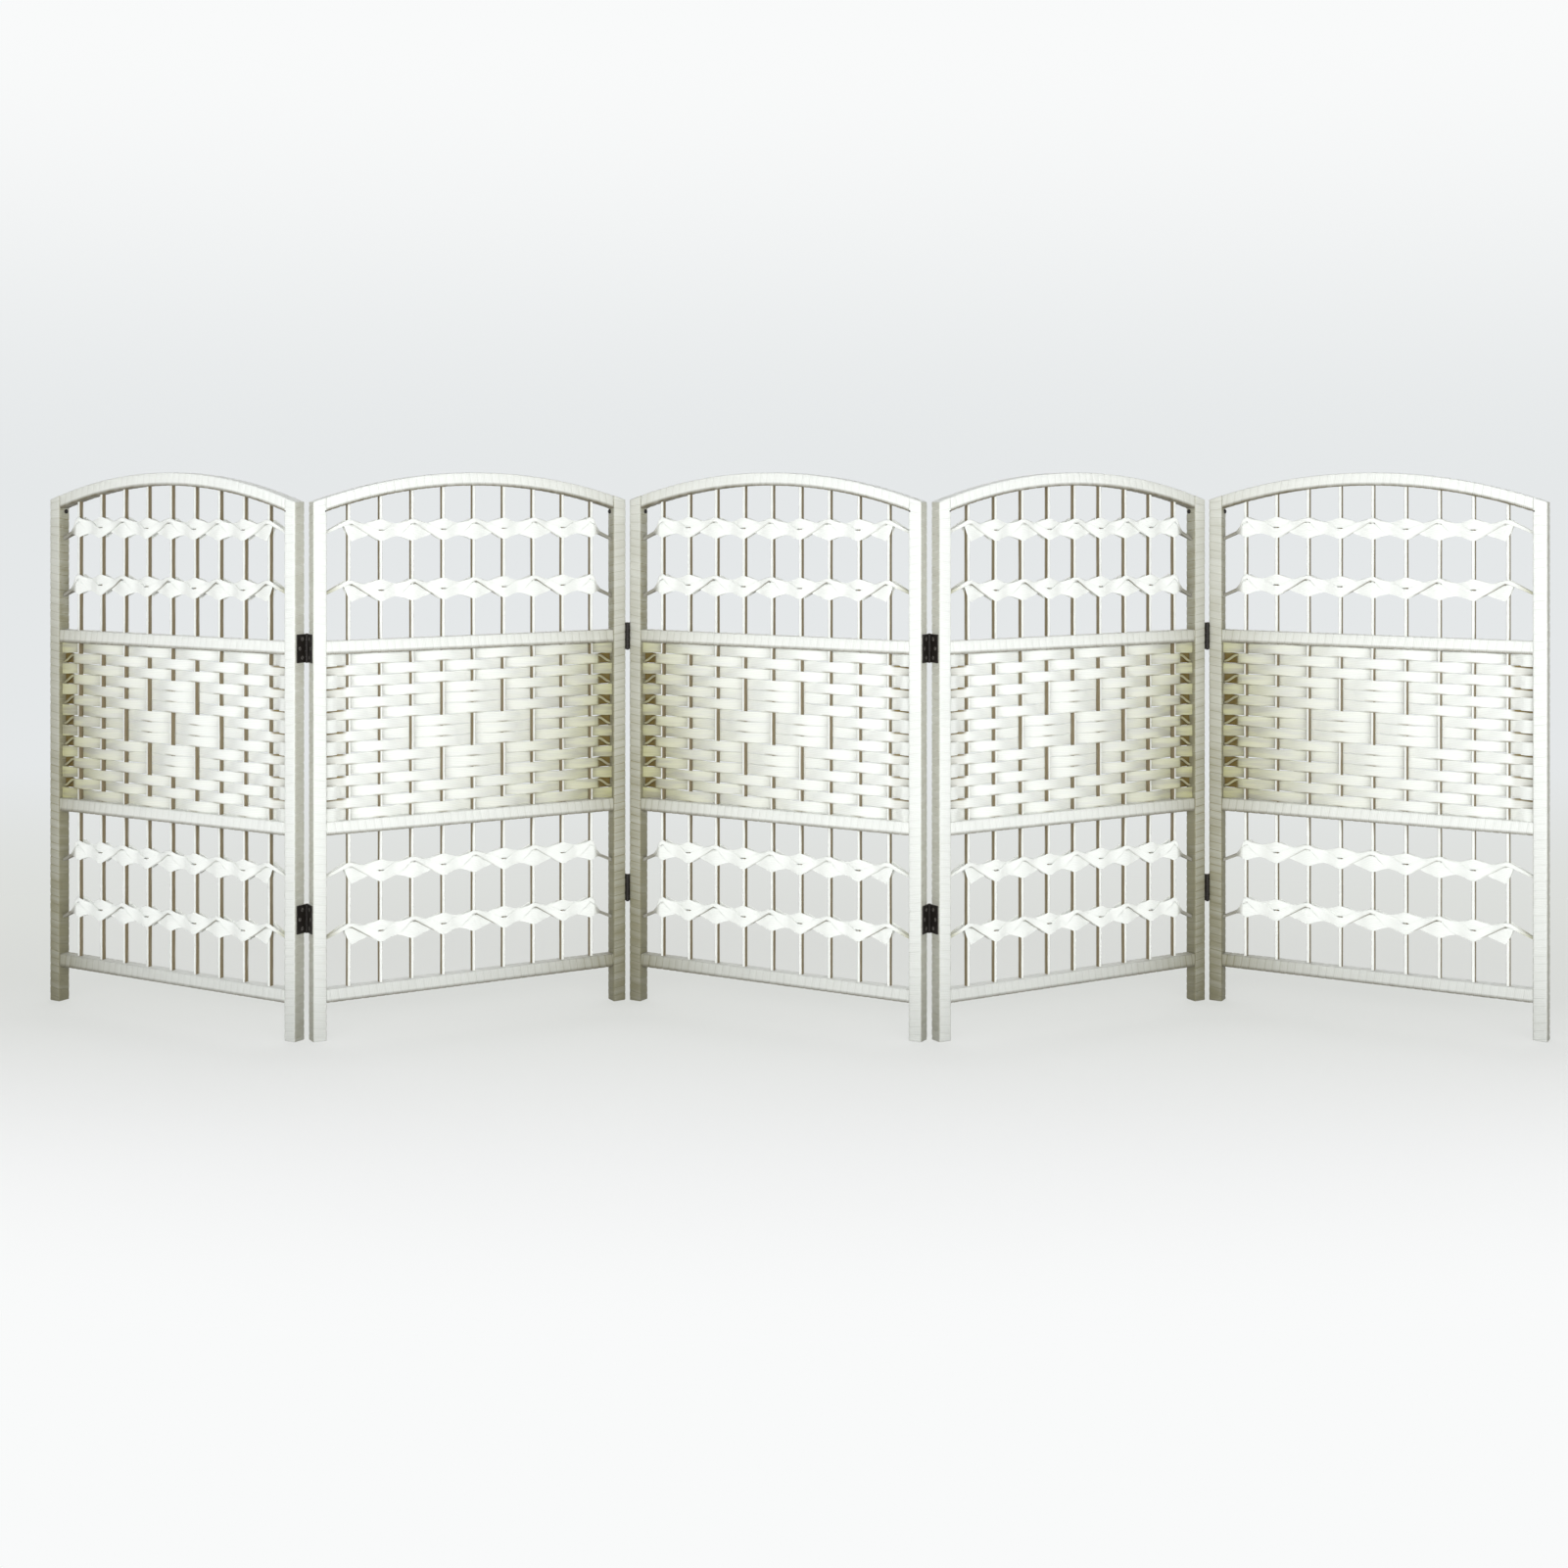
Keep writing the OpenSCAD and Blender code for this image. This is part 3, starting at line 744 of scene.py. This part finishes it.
def ribbon(mesh, line, z, height, thickness, strands, relief, shade_marks, seed):
    """A flat strip of strands along a line on the plan. z and height go with the line, and the
    argument before seed gives each point its painted shadow and painted shade."""
    across = np.linspace(-0.5, 0.5, 2 * strands + 1)
    valley = np.where(np.arange(2 * strands + 1) % 2 == 0, relief, 0)
    valley[[0, -1]] = thickness * 0.3
    depth = np.concatenate([valley - thickness / 2, (thickness / 2 - valley)[::-1]])
    span = np.concatenate([across, across[::-1]])
    x, y, slope = (line[:, n][:, None] for n in range(3))
    size = np.sqrt(1 + slope ** 2)
    rings = np.stack(np.broadcast_arrays(x - slope / size * depth, y + depth / size,
                                         z[:, None] + height[:, None] * span), -1)
    walked = np.concatenate([[0], np.cumsum(np.hypot(*np.diff(line[:, :2], axis=0).T))])
    wide = np.concatenate([span, [span[0]]])
    mesh.loft(rings, walked[:, None] + seed * 611, height[:, None] * wide, *shade_marks(rings, depth))


def weave_shade(rings, depth):
    """Painted shade on the woven strips, seen from either side: all of a far end that lies behind
    its post, two painted shadow lines on a near end that draw together towards the post, and a
    painted shadow along the lower edge over each lath. It also darkens the strips towards the floor
    and the far post, a painted shade."""
    x, y, z = (rings[..., n] for n in range(3))
    off = z - z.mean(axis=1)[:, None]
    facing = np.where(depth < 0, 1, -1)
    hides = np.where(x < PANEL_W / 2, y[:1], y[-1:]) * facing > 0
    far = smooth(POST + 26, POST + 19, x) * smooth(-3.5, -0.5, y * facing) * hides
    at_post = smooth(LATH_X[-2] + 4, LATH_X[-1], x)
    middle, apart, drawn = -0.9, 5.9, 2.3
    lines = np.where(off > middle, 0.95, 0.5 * smooth(0.4, 1, at_post)) \
        * smooth(-0.8, 0.8, np.abs(off - middle) - apart + drawn * at_post)
    near = smooth(LATH_X[-2] + 4, LATH_X[-2] + 9, x) * hides * np.maximum(0.2, lines)
    lath = np.abs((x - LATH_X[1] + LATH_PITCH / 2) % LATH_PITCH - LATH_PITCH / 2)
    under = 0.7 * smooth(17, 3, lath) * smooth(-1, -4, y * facing) * smooth(-5.3, -7.0, off)
    low = 1 - (z - LOWER_RAIL_Z) / (UPPER_RAIL_Z - LOWER_RAIL_Z)
    away = np.clip(1 - x / PANEL_W, 0, 1)
    shaded = (1 - low) * away ** 5 + low * away ** 2.9 + 0.03 * low
    return np.maximum(np.maximum(far, near), under), np.clip(shaded, 0, 1)


def weave_mesh(k):
    strands = settings("weave").strands
    relief, widening, bead = in_mm("weave", "relief", "widening", "bead")
    mesh = Mesh()
    for row in range(1, ROWS + 1):
        seed = k * 17 + row
        line = strip_line(row)
        x = line[:, 0]
        z = row_z(row) + 0.22 * wander(x / 37, seed)
        far_end = smooth(LATH_X[1] - 12, LATH_X[0], x)
        near_end = smooth(LATH_X[-2] + 2, LATH_X[-2] + 12, x)
        height = STRIP_H * (1 + 0.012 * wander(x / 21, seed + 5))
        height += near_end * (widening if side(row, LATHS) > 0 else -0.6)
        height += far_end * (widening / 3 if side(row, 1) > 0 else 0)
        ribbon(mesh, line, z, height, STRIP_T, strands, relief, weave_shade, seed)
        if side(row, 1) < 0:
            turned_strand(mesh, row, bead, seed)
    return mesh


def turned_strand(mesh, row, width, seed):
    """The strand of a strip that turns down and in behind a far post."""
    reach, drop, thickness, groove = 22.0, 10.0, 1.3, 0.12
    u = np.linspace(0, 1, 9)
    x = POST + 1 + reach * (1 - u)
    y = -2.2 + 1.8 * u
    z = row_z(row) + drop * (0.5 - smooth(0.05, 1.0, u))
    girth = width * (0.6 + 0.4 * np.sin(np.pi * u))
    # The turned strand gets painted shade.
    ribbon(mesh, np.column_stack([x, y, np.gradient(y, x)]), z, girth, thickness, 2, groove,
           lambda rings, depth: (0.28, 0.8), seed + 90)


class PARTITION_OT_weave(bpy.types.Operator):
    """Weave the strips of the middle fields"""
    bl_idname = "partition.weave"
    bl_label = "Weave"

    def execute(self, context):
        return dress("woven", {"weave": weave_mesh}, "woven", sharp=75)


# ---- nets

def net_edges(i, phase):
    """Lower and upper edge of a net strip over a lath, from the net's middle. The strips of a
    net change places from lath to lath, and the front one is narrow where it is the upper one."""
    height, slit, narrow = in_mm("nets", "lath_height", "slit", "narrow")
    half = height / 2
    if i % 2:
        return (half - narrow, half) if phase == 0 else (-half, half - narrow - slit)
    return (-half, -slit / 2) if phase == 0 else (slit / 2, half)


def net_end(end, out, phase):
    """Height and breadth of a net strip between the outer lath and a post, with out 0 at the
    lath and 1 at the post. Its strips gather into one strand close to the lath, and then fall
    to the post. At the near post the front strip is that strand from the start."""
    drop, hold, lath = (NET_FAR_DROP, 0.3, 1) if end == FAR else (NET_NEAR_DROP, 0.16, LATHS)
    strand, = in_mm("nets", "far_end" if end == FAR else "near_end")
    low, high = net_edges(lath, phase)
    start = -4.0 if end == FAR else sum(net_edges(lath, 0)) / 2
    leads = end == NEAR and phase == 0
    gather = 1.0 if leads else smooth(-0.12, hold, out)
    taper = out if leads else smooth(-0.1, hold, out)
    z = (low + high) / 2 * (1 - gather) + start * (gather - out) - drop * out
    return z, high - low + (strand - high + low) * taper


def net_crossing(i, run, phase):
    """Height and breadth of a net strip between lath i and the next, with run 1 at the one, 0
    where the strips cross and -1 at the other."""
    half = in_mm("nets", "mid_height")[0] / 2
    even = i % 2 == 0
    here, following, middle = (np.array(edges)[:, None] for edges in (
        net_edges(i, phase), net_edges(i + 1, phase),
        (-half * (0.4 if phase == 0 and even else 1), half)))
    low, high = middle + (np.where(run > 0, here, following) - middle) \
        * np.abs(run) ** (1.0 if even else 1.5)
    return (low + high) / 2, high - low


def net_points(phase, steps=7):
    """One net strip cell by cell: place along the panel, sideways place in front of the laths,
    height above the net's middle, and the strip's own height."""
    layer = (NET_T + NET_GAP) / 2 * (1 if phase == 0 else -1)
    at_lath, between = LATH_D / 2 + NET_GAP + NET_T + NET_GAP / 2, NET_GAP + NET_T
    u = np.linspace(0, 1, steps)
    cells = []
    for i in range(LATHS + 1):
        x0, x1 = cell_ends(i)
        if i in (0, LATHS):
            end, out = (FAR, 1 - u) if i == 0 else (NEAR, u)
            z, height = net_end(end, out, phase)
            inward = smooth(0, 1, out)
        else:
            z, height = net_crossing(i, 1 - 2 * u, phase)
            inward = (1 - np.cos(2 * np.pi * u)) / 2
        y = at_lath + (between - at_lath) * inward
        cells.append(np.stack([x0 + (x1 - x0) * u, -(y + layer), z, height], -1))
    return np.concatenate(cells)


def net_shade(lower, phase):
    """Painted shade on the far ends, a painted shadow along the lower edge of a strip that lies
    over another on its way down from a lath, and a shade tint at the near ends. The lower net
    of a field has more."""
    line_shadow, near_shade = (0.9, 0.6) if lower else (0.4, 0.1)

    def shade_marks(rings, depth):
        x, z_up = rings[..., 0], rings[..., 2] - rings[..., 2].min(axis=1)[:, None]
        far = smooth(LATH_X[1] - 3, LATH_X[1] - 12, x)
        near = smooth(LATH_X[-2] + 6, LATH_X[-1], x)
        cell = (x - LATH_X[1]) / LATH_PITCH
        over = (np.floor(cell) % 2 == 1) & (cell > 0) & (cell < LATHS - 1) & (phase == 0)
        line = over * smooth(0.1, 0.4, cell % 1.0) * smooth(2.4, 0.6, z_up)
        return np.maximum(far * 0.75, line * line_shadow), near * near_shade

    return shade_marks


def nets_mesh(k):
    strands, (relief,) = settings("nets").strands, in_mm("nets", "relief")
    mesh = Mesh()
    for n, middle in enumerate(NET_ZS):
        for phase in (0, 1):
            x, y, z, height = net_points(phase).T
            for back in (1, -1):
                seed = k * 23 + n * 4 + phase * 2 + (back < 0)
                line = np.stack([x, back * y, back * np.gradient(y, x)], -1)
                ribbon(mesh, line, middle + z + 0.2 * wander(x / 33, seed), height, NET_T, strands,
                       relief, net_shade(n % 2, phase), seed)
    return mesh


class PARTITION_OT_nets(bpy.types.Operator):
    """Shape the crossing strips of the open fields"""
    bl_idname = "partition.nets"
    bl_label = "Nets"

    def execute(self, context):
        return dress("crossed", {"nets": nets_mesh}, "netted", sharp=75)


# ---- hinges

# Turned shapes, as radius, height and wear.
SHANK = ((0.3, SCREW_L, 0), (SCREW_R * 0.8, SCREW_L - 1, 0), (SCREW_R, SCREW_L - 2, 0),
         (SCREW_R, LEAF_T, 0), (SCREW_HEAD_R - 0.25, 0.22, 0.2), (SCREW_HEAD_R - 0.4, 0.2, 0.3))
FAR_NAIL = ((0.4, -1.5, 0), (2.2, -1.0, 0), (3.3, 0.2, 0), (3.2, 1.3, 0), (2.3, 2.3, 0.05),
            (0.4, 2.8, 0.1))
NEAR_NAIL = ((0.4, -1.5, 0), (1.0, -1.2, 0), (1.3, -0.4, 0), (1.1, -0.1, 0.1), (0.3, 0.0, 0.1))
# Each half of a slotted screw head, as depth, size and wear.
HEAD_HALF = ((0.3, 0.98, 0.1), (0.05, 1.0, 0.45), (-0.1, 0.93, 0.6), (-0.16, 0.7, 0.5))
# How far a nail's middle lies from the corner under the arch.
FAR_NAIL_BACK, FAR_NAIL_DROP, NEAR_NAIL_OUT, NEAR_NAIL_RISE = 3.0, 4.3, 1.8, 0.6


def turned(mesh, profile, place, sides=24):
    """A turned shape. place puts each point of it."""
    angle = np.linspace(0, 2 * np.pi, sides, endpoint=False)
    radius, up, worn = (np.array(column)[:, None] for column in zip(*profile))
    rings = [[place(r * math.cos(t), r * math.sin(t), z) for t in angle] for r, z, _ in profile]
    around = np.linspace(0, 1, sides + 1) * 2 * np.pi * radius.max()
    mesh.loft(np.array(rings), around, up, worn)


def hinges_of(k):
    """The hinges of a panel: what puts their points, their first knuckle, and their number and
    height on the post. What is drawn for the far end comes to the near one by half a turn."""
    left, right = (FAR, NEAR) if k % 2 else (NEAR, FAR)
    for end, first, there in ((left, 1, k > PANELS[0]), (right, 0, k < PANELS[-1])):
        if there:
            put = {FAR: lambda x, y, z: (x, y, z), NEAR: lambda x, y, z: (PANEL_W - x, -y, z)}[end]
            for n, middle in enumerate(HINGE_ZS):
                yield put, first, n, middle


def hinges_mesh(k):
    edge, corner = in_mm("hinge", "edge", "corner")
    mesh = Mesh()
    knuckle_h, bore, web_end = HINGE_H / KNUCKLES, PIN_R + 0.15, 3.2
    y0, y1 = -PIN_Y + KNUCKLE_R + HINGE_GAP, -PIN_Y + LEAF_W
    outline, outward, around = rounded_outline(y1 - y0, HINGE_H, corner, steps=3, side=4)
    # The rings of a leaf from back to front, as place, inset and wear.
    leaf = ((0, edge, 0), (-edge, 0, 0.1), (edge - LEAF_T, 0, 0.45), (-LEAF_T, edge, 0.5),
            (-LEAF_T, edge * 3, 0.12))
    web = ((-LEAF_T, 0.2), (0, 0.2), (0, web_end), (-LEAF_T, web_end))
    for put, first, _, middle in hinges_of(k):
        rings = [[put(x, (y0 + y1) / 2 + a, middle + b) for a, b in outline - outward * inset]
                 for x, inset, _ in leaf]
        mesh.loft(np.array(rings), around, np.arange(len(leaf))[:, None], np.array(leaf)[:, 2:])
        for n in range(first, KNUCKLES, 2):
            low = middle - HINGE_H / 2 + n * knuckle_h + HINGE_GAP / 2
            high = low + knuckle_h - HINGE_GAP
            turned(mesh, ((bore, low, 0), (KNUCKLE_R - edge, low, 0.2), (KNUCKLE_R, low + edge, 0),
                          (KNUCKLE_R, high - edge, 0), (KNUCKLE_R - edge, high, 0.2),
                          (bore, high, 0)), lambda x, y, z: put(x - PANEL_GAP / 2, y - PIN_Y, z))
            mesh.plain([[put(x, y - PIN_Y, z) for x, y in web] for z in (low + 0.1, high - 0.1)],
                       (0, 0))
    return mesh


class PARTITION_OT_hinges(bpy.types.Operator):
    """Shape the hinge leaves and their knuckles"""
    bl_idname = "partition.hinges"
    bl_label = "Hinge leaves"

    def execute(self, context):
        return dress("black", {"hinge_leaves": hinges_mesh}, "hinge", sharp=35)


def screws_mesh(k):
    """Countersunk screws, each head cut by a slot."""
    slot, = in_mm("hinge", "slot")
    mesh = Mesh()
    reach = math.acos(slot / 2 / SCREW_HEAD_R)
    turns = np.linspace(-reach, reach, 11)
    half = SCREW_HEAD_R * np.stack([np.cos(turns), np.sin(turns)], -1)
    centre = np.array([SCREW_HEAD_R / 2, 0])
    for put, _, n, middle in hinges_of(k):
        for m, (rise, step) in enumerate(SCREW_SPOTS):
            y = (KNUCKLE_R + HINGE_GAP + LEAF_W) / 2 - PIN_Y + step
            twist = 0.7 + 1.9 * m + 1.1 * n + 0.6 * k

            def place(a, b, t):
                return put(t - LEAF_T, y + a, middle + rise + b)

            turned(mesh, SHANK, place, sides=20)
            for turn in (twist, math.pi + twist):
                mesh.plain([[place(a, b, t) for a, b in
                             (centre + (half - centre) * size) @ spin(turn)]
                            for t, size, _ in HEAD_HALF], [worn for *_, worn in HEAD_HALF])
    return mesh


class PARTITION_OT_screws(bpy.types.Operator):
    """Shape the screws of the hinges"""
    bl_idname = "partition.screws"
    bl_label = "Screws"

    def execute(self, context):
        return dress("slotted", {"screws": screws_mesh}, "screw", sharp=40)


class PARTITION_OT_pins(bpy.types.Operator):
    """Shape the hinge pins with their domed heads"""
    bl_idname = "partition.pins"
    bl_label = "Hinge pins"

    def execute(self, context):
        half, head, dome = (HINGE_H + HINGE_GAP) / 2, 0.8, KNUCKLE_R - HINGE_GAP
        pin = [(0.3, -half - head, 1), (dome * 0.55, -half - head * 0.93, 1),
               (dome * 0.88, -half - head * 0.62, 0.9), (dome, -half - head * 0.2, 0.6),
               (dome, -half, 0.2), (PIN_R, -half, 0)]
        pin += [(r, -z, worn) for r, z, worn in pin[::-1]]
        for j in JOINTS:
            name = f"hinge_pins_{j}"
            low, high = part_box(name)
            axis = (low + high) / 2
            mesh = Mesh()
            for middle in HINGE_ZS:
                turned(mesh, pin, lambda x, y, z: (x, y, z + middle))
            piece = mesh.make("domed_" + name, lambda p: p * 0.001 + np.array([axis.x, axis.y, 0]),
                              False, finish("screw"), 40)
            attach(piece, f"panel_{j}")
            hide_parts(name)
        return {"FINISHED"}


class PARTITION_OT_nails(bpy.types.Operator):
    """Drive the black nails in the corners under the arches"""
    bl_idname = "partition.nails"
    bl_label = "Corner nails"

    def execute(self, context):
        # The black nail heads are partly painted shadow: they also darken the shadowed gap in the
        # corner under each arch.
        corner = float(arch_z(POST, ARCH_R - RAIL))
        for k in PANELS:
            mesh = Mesh()
            turned(mesh, FAR_NAIL, lambda x, y, z: (POST + z, FAR_NAIL_BACK + x,
                                                    corner - FAR_NAIL_DROP + y), sides=20)
            for face in (-1, 1):
                turned(mesh, NEAR_NAIL,
                       lambda x, y, z: (PANEL_W - POST + NEAR_NAIL_OUT + x, face * (POST / 2 + z),
                                        corner + NEAR_NAIL_RISE + y), sides=12)
            stand(f"panel_{k}_corner_nails", mesh, Panel(k), "hinge", sharp=40)
        return {"FINISHED"}


# ---- stage

class PARTITION_OT_stage(bpy.types.Operator):
    """Lay the floor and set the lamps and the camera"""
    bl_idname = "partition.stage"
    bl_label = "Floor, light and camera"

    def execute(self, context):
        look = settings("stage")
        self.floor(look)
        self.world(look)
        self.lamp("key_lamp", place=(0.0, -2.8, 0.98), aim=(0.0, 0.0, 0.4), size=(6.0, 0.5),
                  power=look.key)
        self.lamp("fill_lamp", place=(0.0, 2.6, 1.6), aim=(0.0, 0.0, 0.35), size=(6.4, 1.0),
                  power=look.fill)
        self.camera(look)
        context.scene.view_settings.view_transform = "Standard"
        return {"FINISHED"}

    @staticmethod
    def show(paint, output, plain, shown, share=1.0):
        """Shows another shader to the camera, straight or in gloss or through glass."""
        path = paint.node("ShaderNodeLightPath")
        straight, gloss, glass = (Amount(paint, path.outputs[name]) for name in
                                  ("Is Camera Ray", "Is Glossy Ray", "Is Transmission Ray"))
        seen = straight.maths("MAXIMUM", straight.maths("MAXIMUM", straight, gloss), glass)
        both = paint.node("ShaderNodeMixShader", {}, {
            0: seen * share, 1: plain.outputs[0], 2: shown.outputs[0]})
        paint.node(output, {}, {"Surface": both.outputs[0]})

    def floor(self, look):
        """A floor that shows its own colours to the camera: grey just behind the screen, a painted
        shadow, pale further back, near white in front. Close to the screen it lets its shadow show
        too."""
        size, close = 60.0, 0.72
        data = bpy.data.meshes.new("floor")
        data.from_pydata([(-size, -size, 0), (size, -size, 0), (size, size, 0), (-size, size, 0)],
                         [], [(0, 1, 2, 3)])
        floor = add("floor", data)
        paint = Finish("floor_paint")
        x, y, _ = paint.parts(paint.node("ShaderNodeNewGeometry").outputs["Position"])
        share = close + (x * x * 0.3 + y * y * 1.2).step(0.1, 1.6) * (1 - close)
        far = (x * x + y * y).step(4.0, 60.0)
        near = (0 - y).step(-0.25, 0.75) * (1 - far)
        # A painted shadow: the floor seen just behind the screen is greyer.
        behind = paint.mix((y.step(0.4, 3.0) + far).kept(), look.behind, look.backdrop)
        matt = paint.node("ShaderNodeBsdfPrincipled", {}, {
            "Base Color": look.floor, "Roughness": 0.85, "Specular IOR Level": 0.2})
        glow = paint.node("ShaderNodeEmission", {}, {
            "Color": paint.mix(near, behind, look.above), "Strength": 1.0})
        self.show(paint, "ShaderNodeOutputMaterial", matt, glow, share)
        data.materials.append(paint.material)

    def world(self, look):
        world = bpy.data.worlds.new("studio")
        world.use_nodes = True
        bpy.context.scene.world = world
        sky = Finish("studio", world.node_tree)
        around = sky.node("ShaderNodeBackground", {}, {"Color": (1, 1, 1),
                                                       "Strength": look.ambient})
        height = sky.parts(sky.node("ShaderNodeTexCoord").outputs["Generated"])[2]
        shade = sky.mix(height.step(-0.02, 0.2), look.backdrop, look.above)
        behind = sky.node("ShaderNodeBackground", {}, {"Color": shade, "Strength": 1.0})
        self.show(sky, "ShaderNodeOutputWorld", around, behind)

    def lamp(self, name, place, aim, size, power):
        data = bpy.data.lights.new(name, "AREA")
        data.shape, data.size, data.size_y, data.energy = "RECTANGLE", *size, power
        lamp = add(name, data)
        lamp.location = place
        lamp.rotation_euler = (Vector(aim) - Vector(place)).to_track_quat("-Z", "Y").to_euler()
        lamp.visible_camera = False

    def camera(self, look):
        left, level = -0.025, math.radians(90)
        data = bpy.data.cameras.new("camera")
        data.lens, data.sensor_width = look.lens, 36
        data.shift_x, data.shift_y = 0.018, -0.2
        camera = add("camera", data)
        camera.location = (left, -look.distance, look.height)
        camera.rotation_euler = (level, 0, 0)
        bpy.context.scene.camera = camera


# ---- add-on

PIECES = (PARTITION_OT_stage, PARTITION_OT_posts, PARTITION_OT_rails, PARTITION_OT_arches,
          PARTITION_OT_laths, PARTITION_OT_weave, PARTITION_OT_nets, PARTITION_OT_hinges,
          PARTITION_OT_screws, PARTITION_OT_pins, PARTITION_OT_nails)


class PARTITION_PT_pieces(bpy.types.Panel):
    """Lists the pieces of the folding screen and their settings"""
    bl_idname = "PARTITION_PT_pieces"
    bl_label = "Folding screen"
    bl_space_type = "VIEW_3D"
    bl_region_type = "UI"
    bl_category = "Folding screen"

    def draw(self, context):
        for operator in PIECES:
            self.layout.operator(operator.bl_idname)
        for group, kind in SETTINGS.items():
            box = self.layout.box()
            box.label(text=kind.__doc__)
            for name in kind.__annotations__:
                box.prop(settings(group), name)


def register():
    for kind in (*SETTINGS.values(), *PIECES, PARTITION_PT_pieces):
        bpy.utils.register_class(kind)
    for group, kind in SETTINGS.items():
        setattr(bpy.types.Scene, "partition_" + group, PointerProperty(type=kind))


def unregister():
    for group in SETTINGS:
        delattr(bpy.types.Scene, "partition_" + group)
    for kind in (PARTITION_PT_pieces, *reversed(PIECES), *reversed(SETTINGS.values())):
        bpy.utils.unregister_class(kind)


def main():
    register()
    for operator in PIECES:
        group, name = operator.bl_idname.split(".")
        getattr(getattr(bpy.ops, group), name)()


if __name__ == "__main__":
    main()
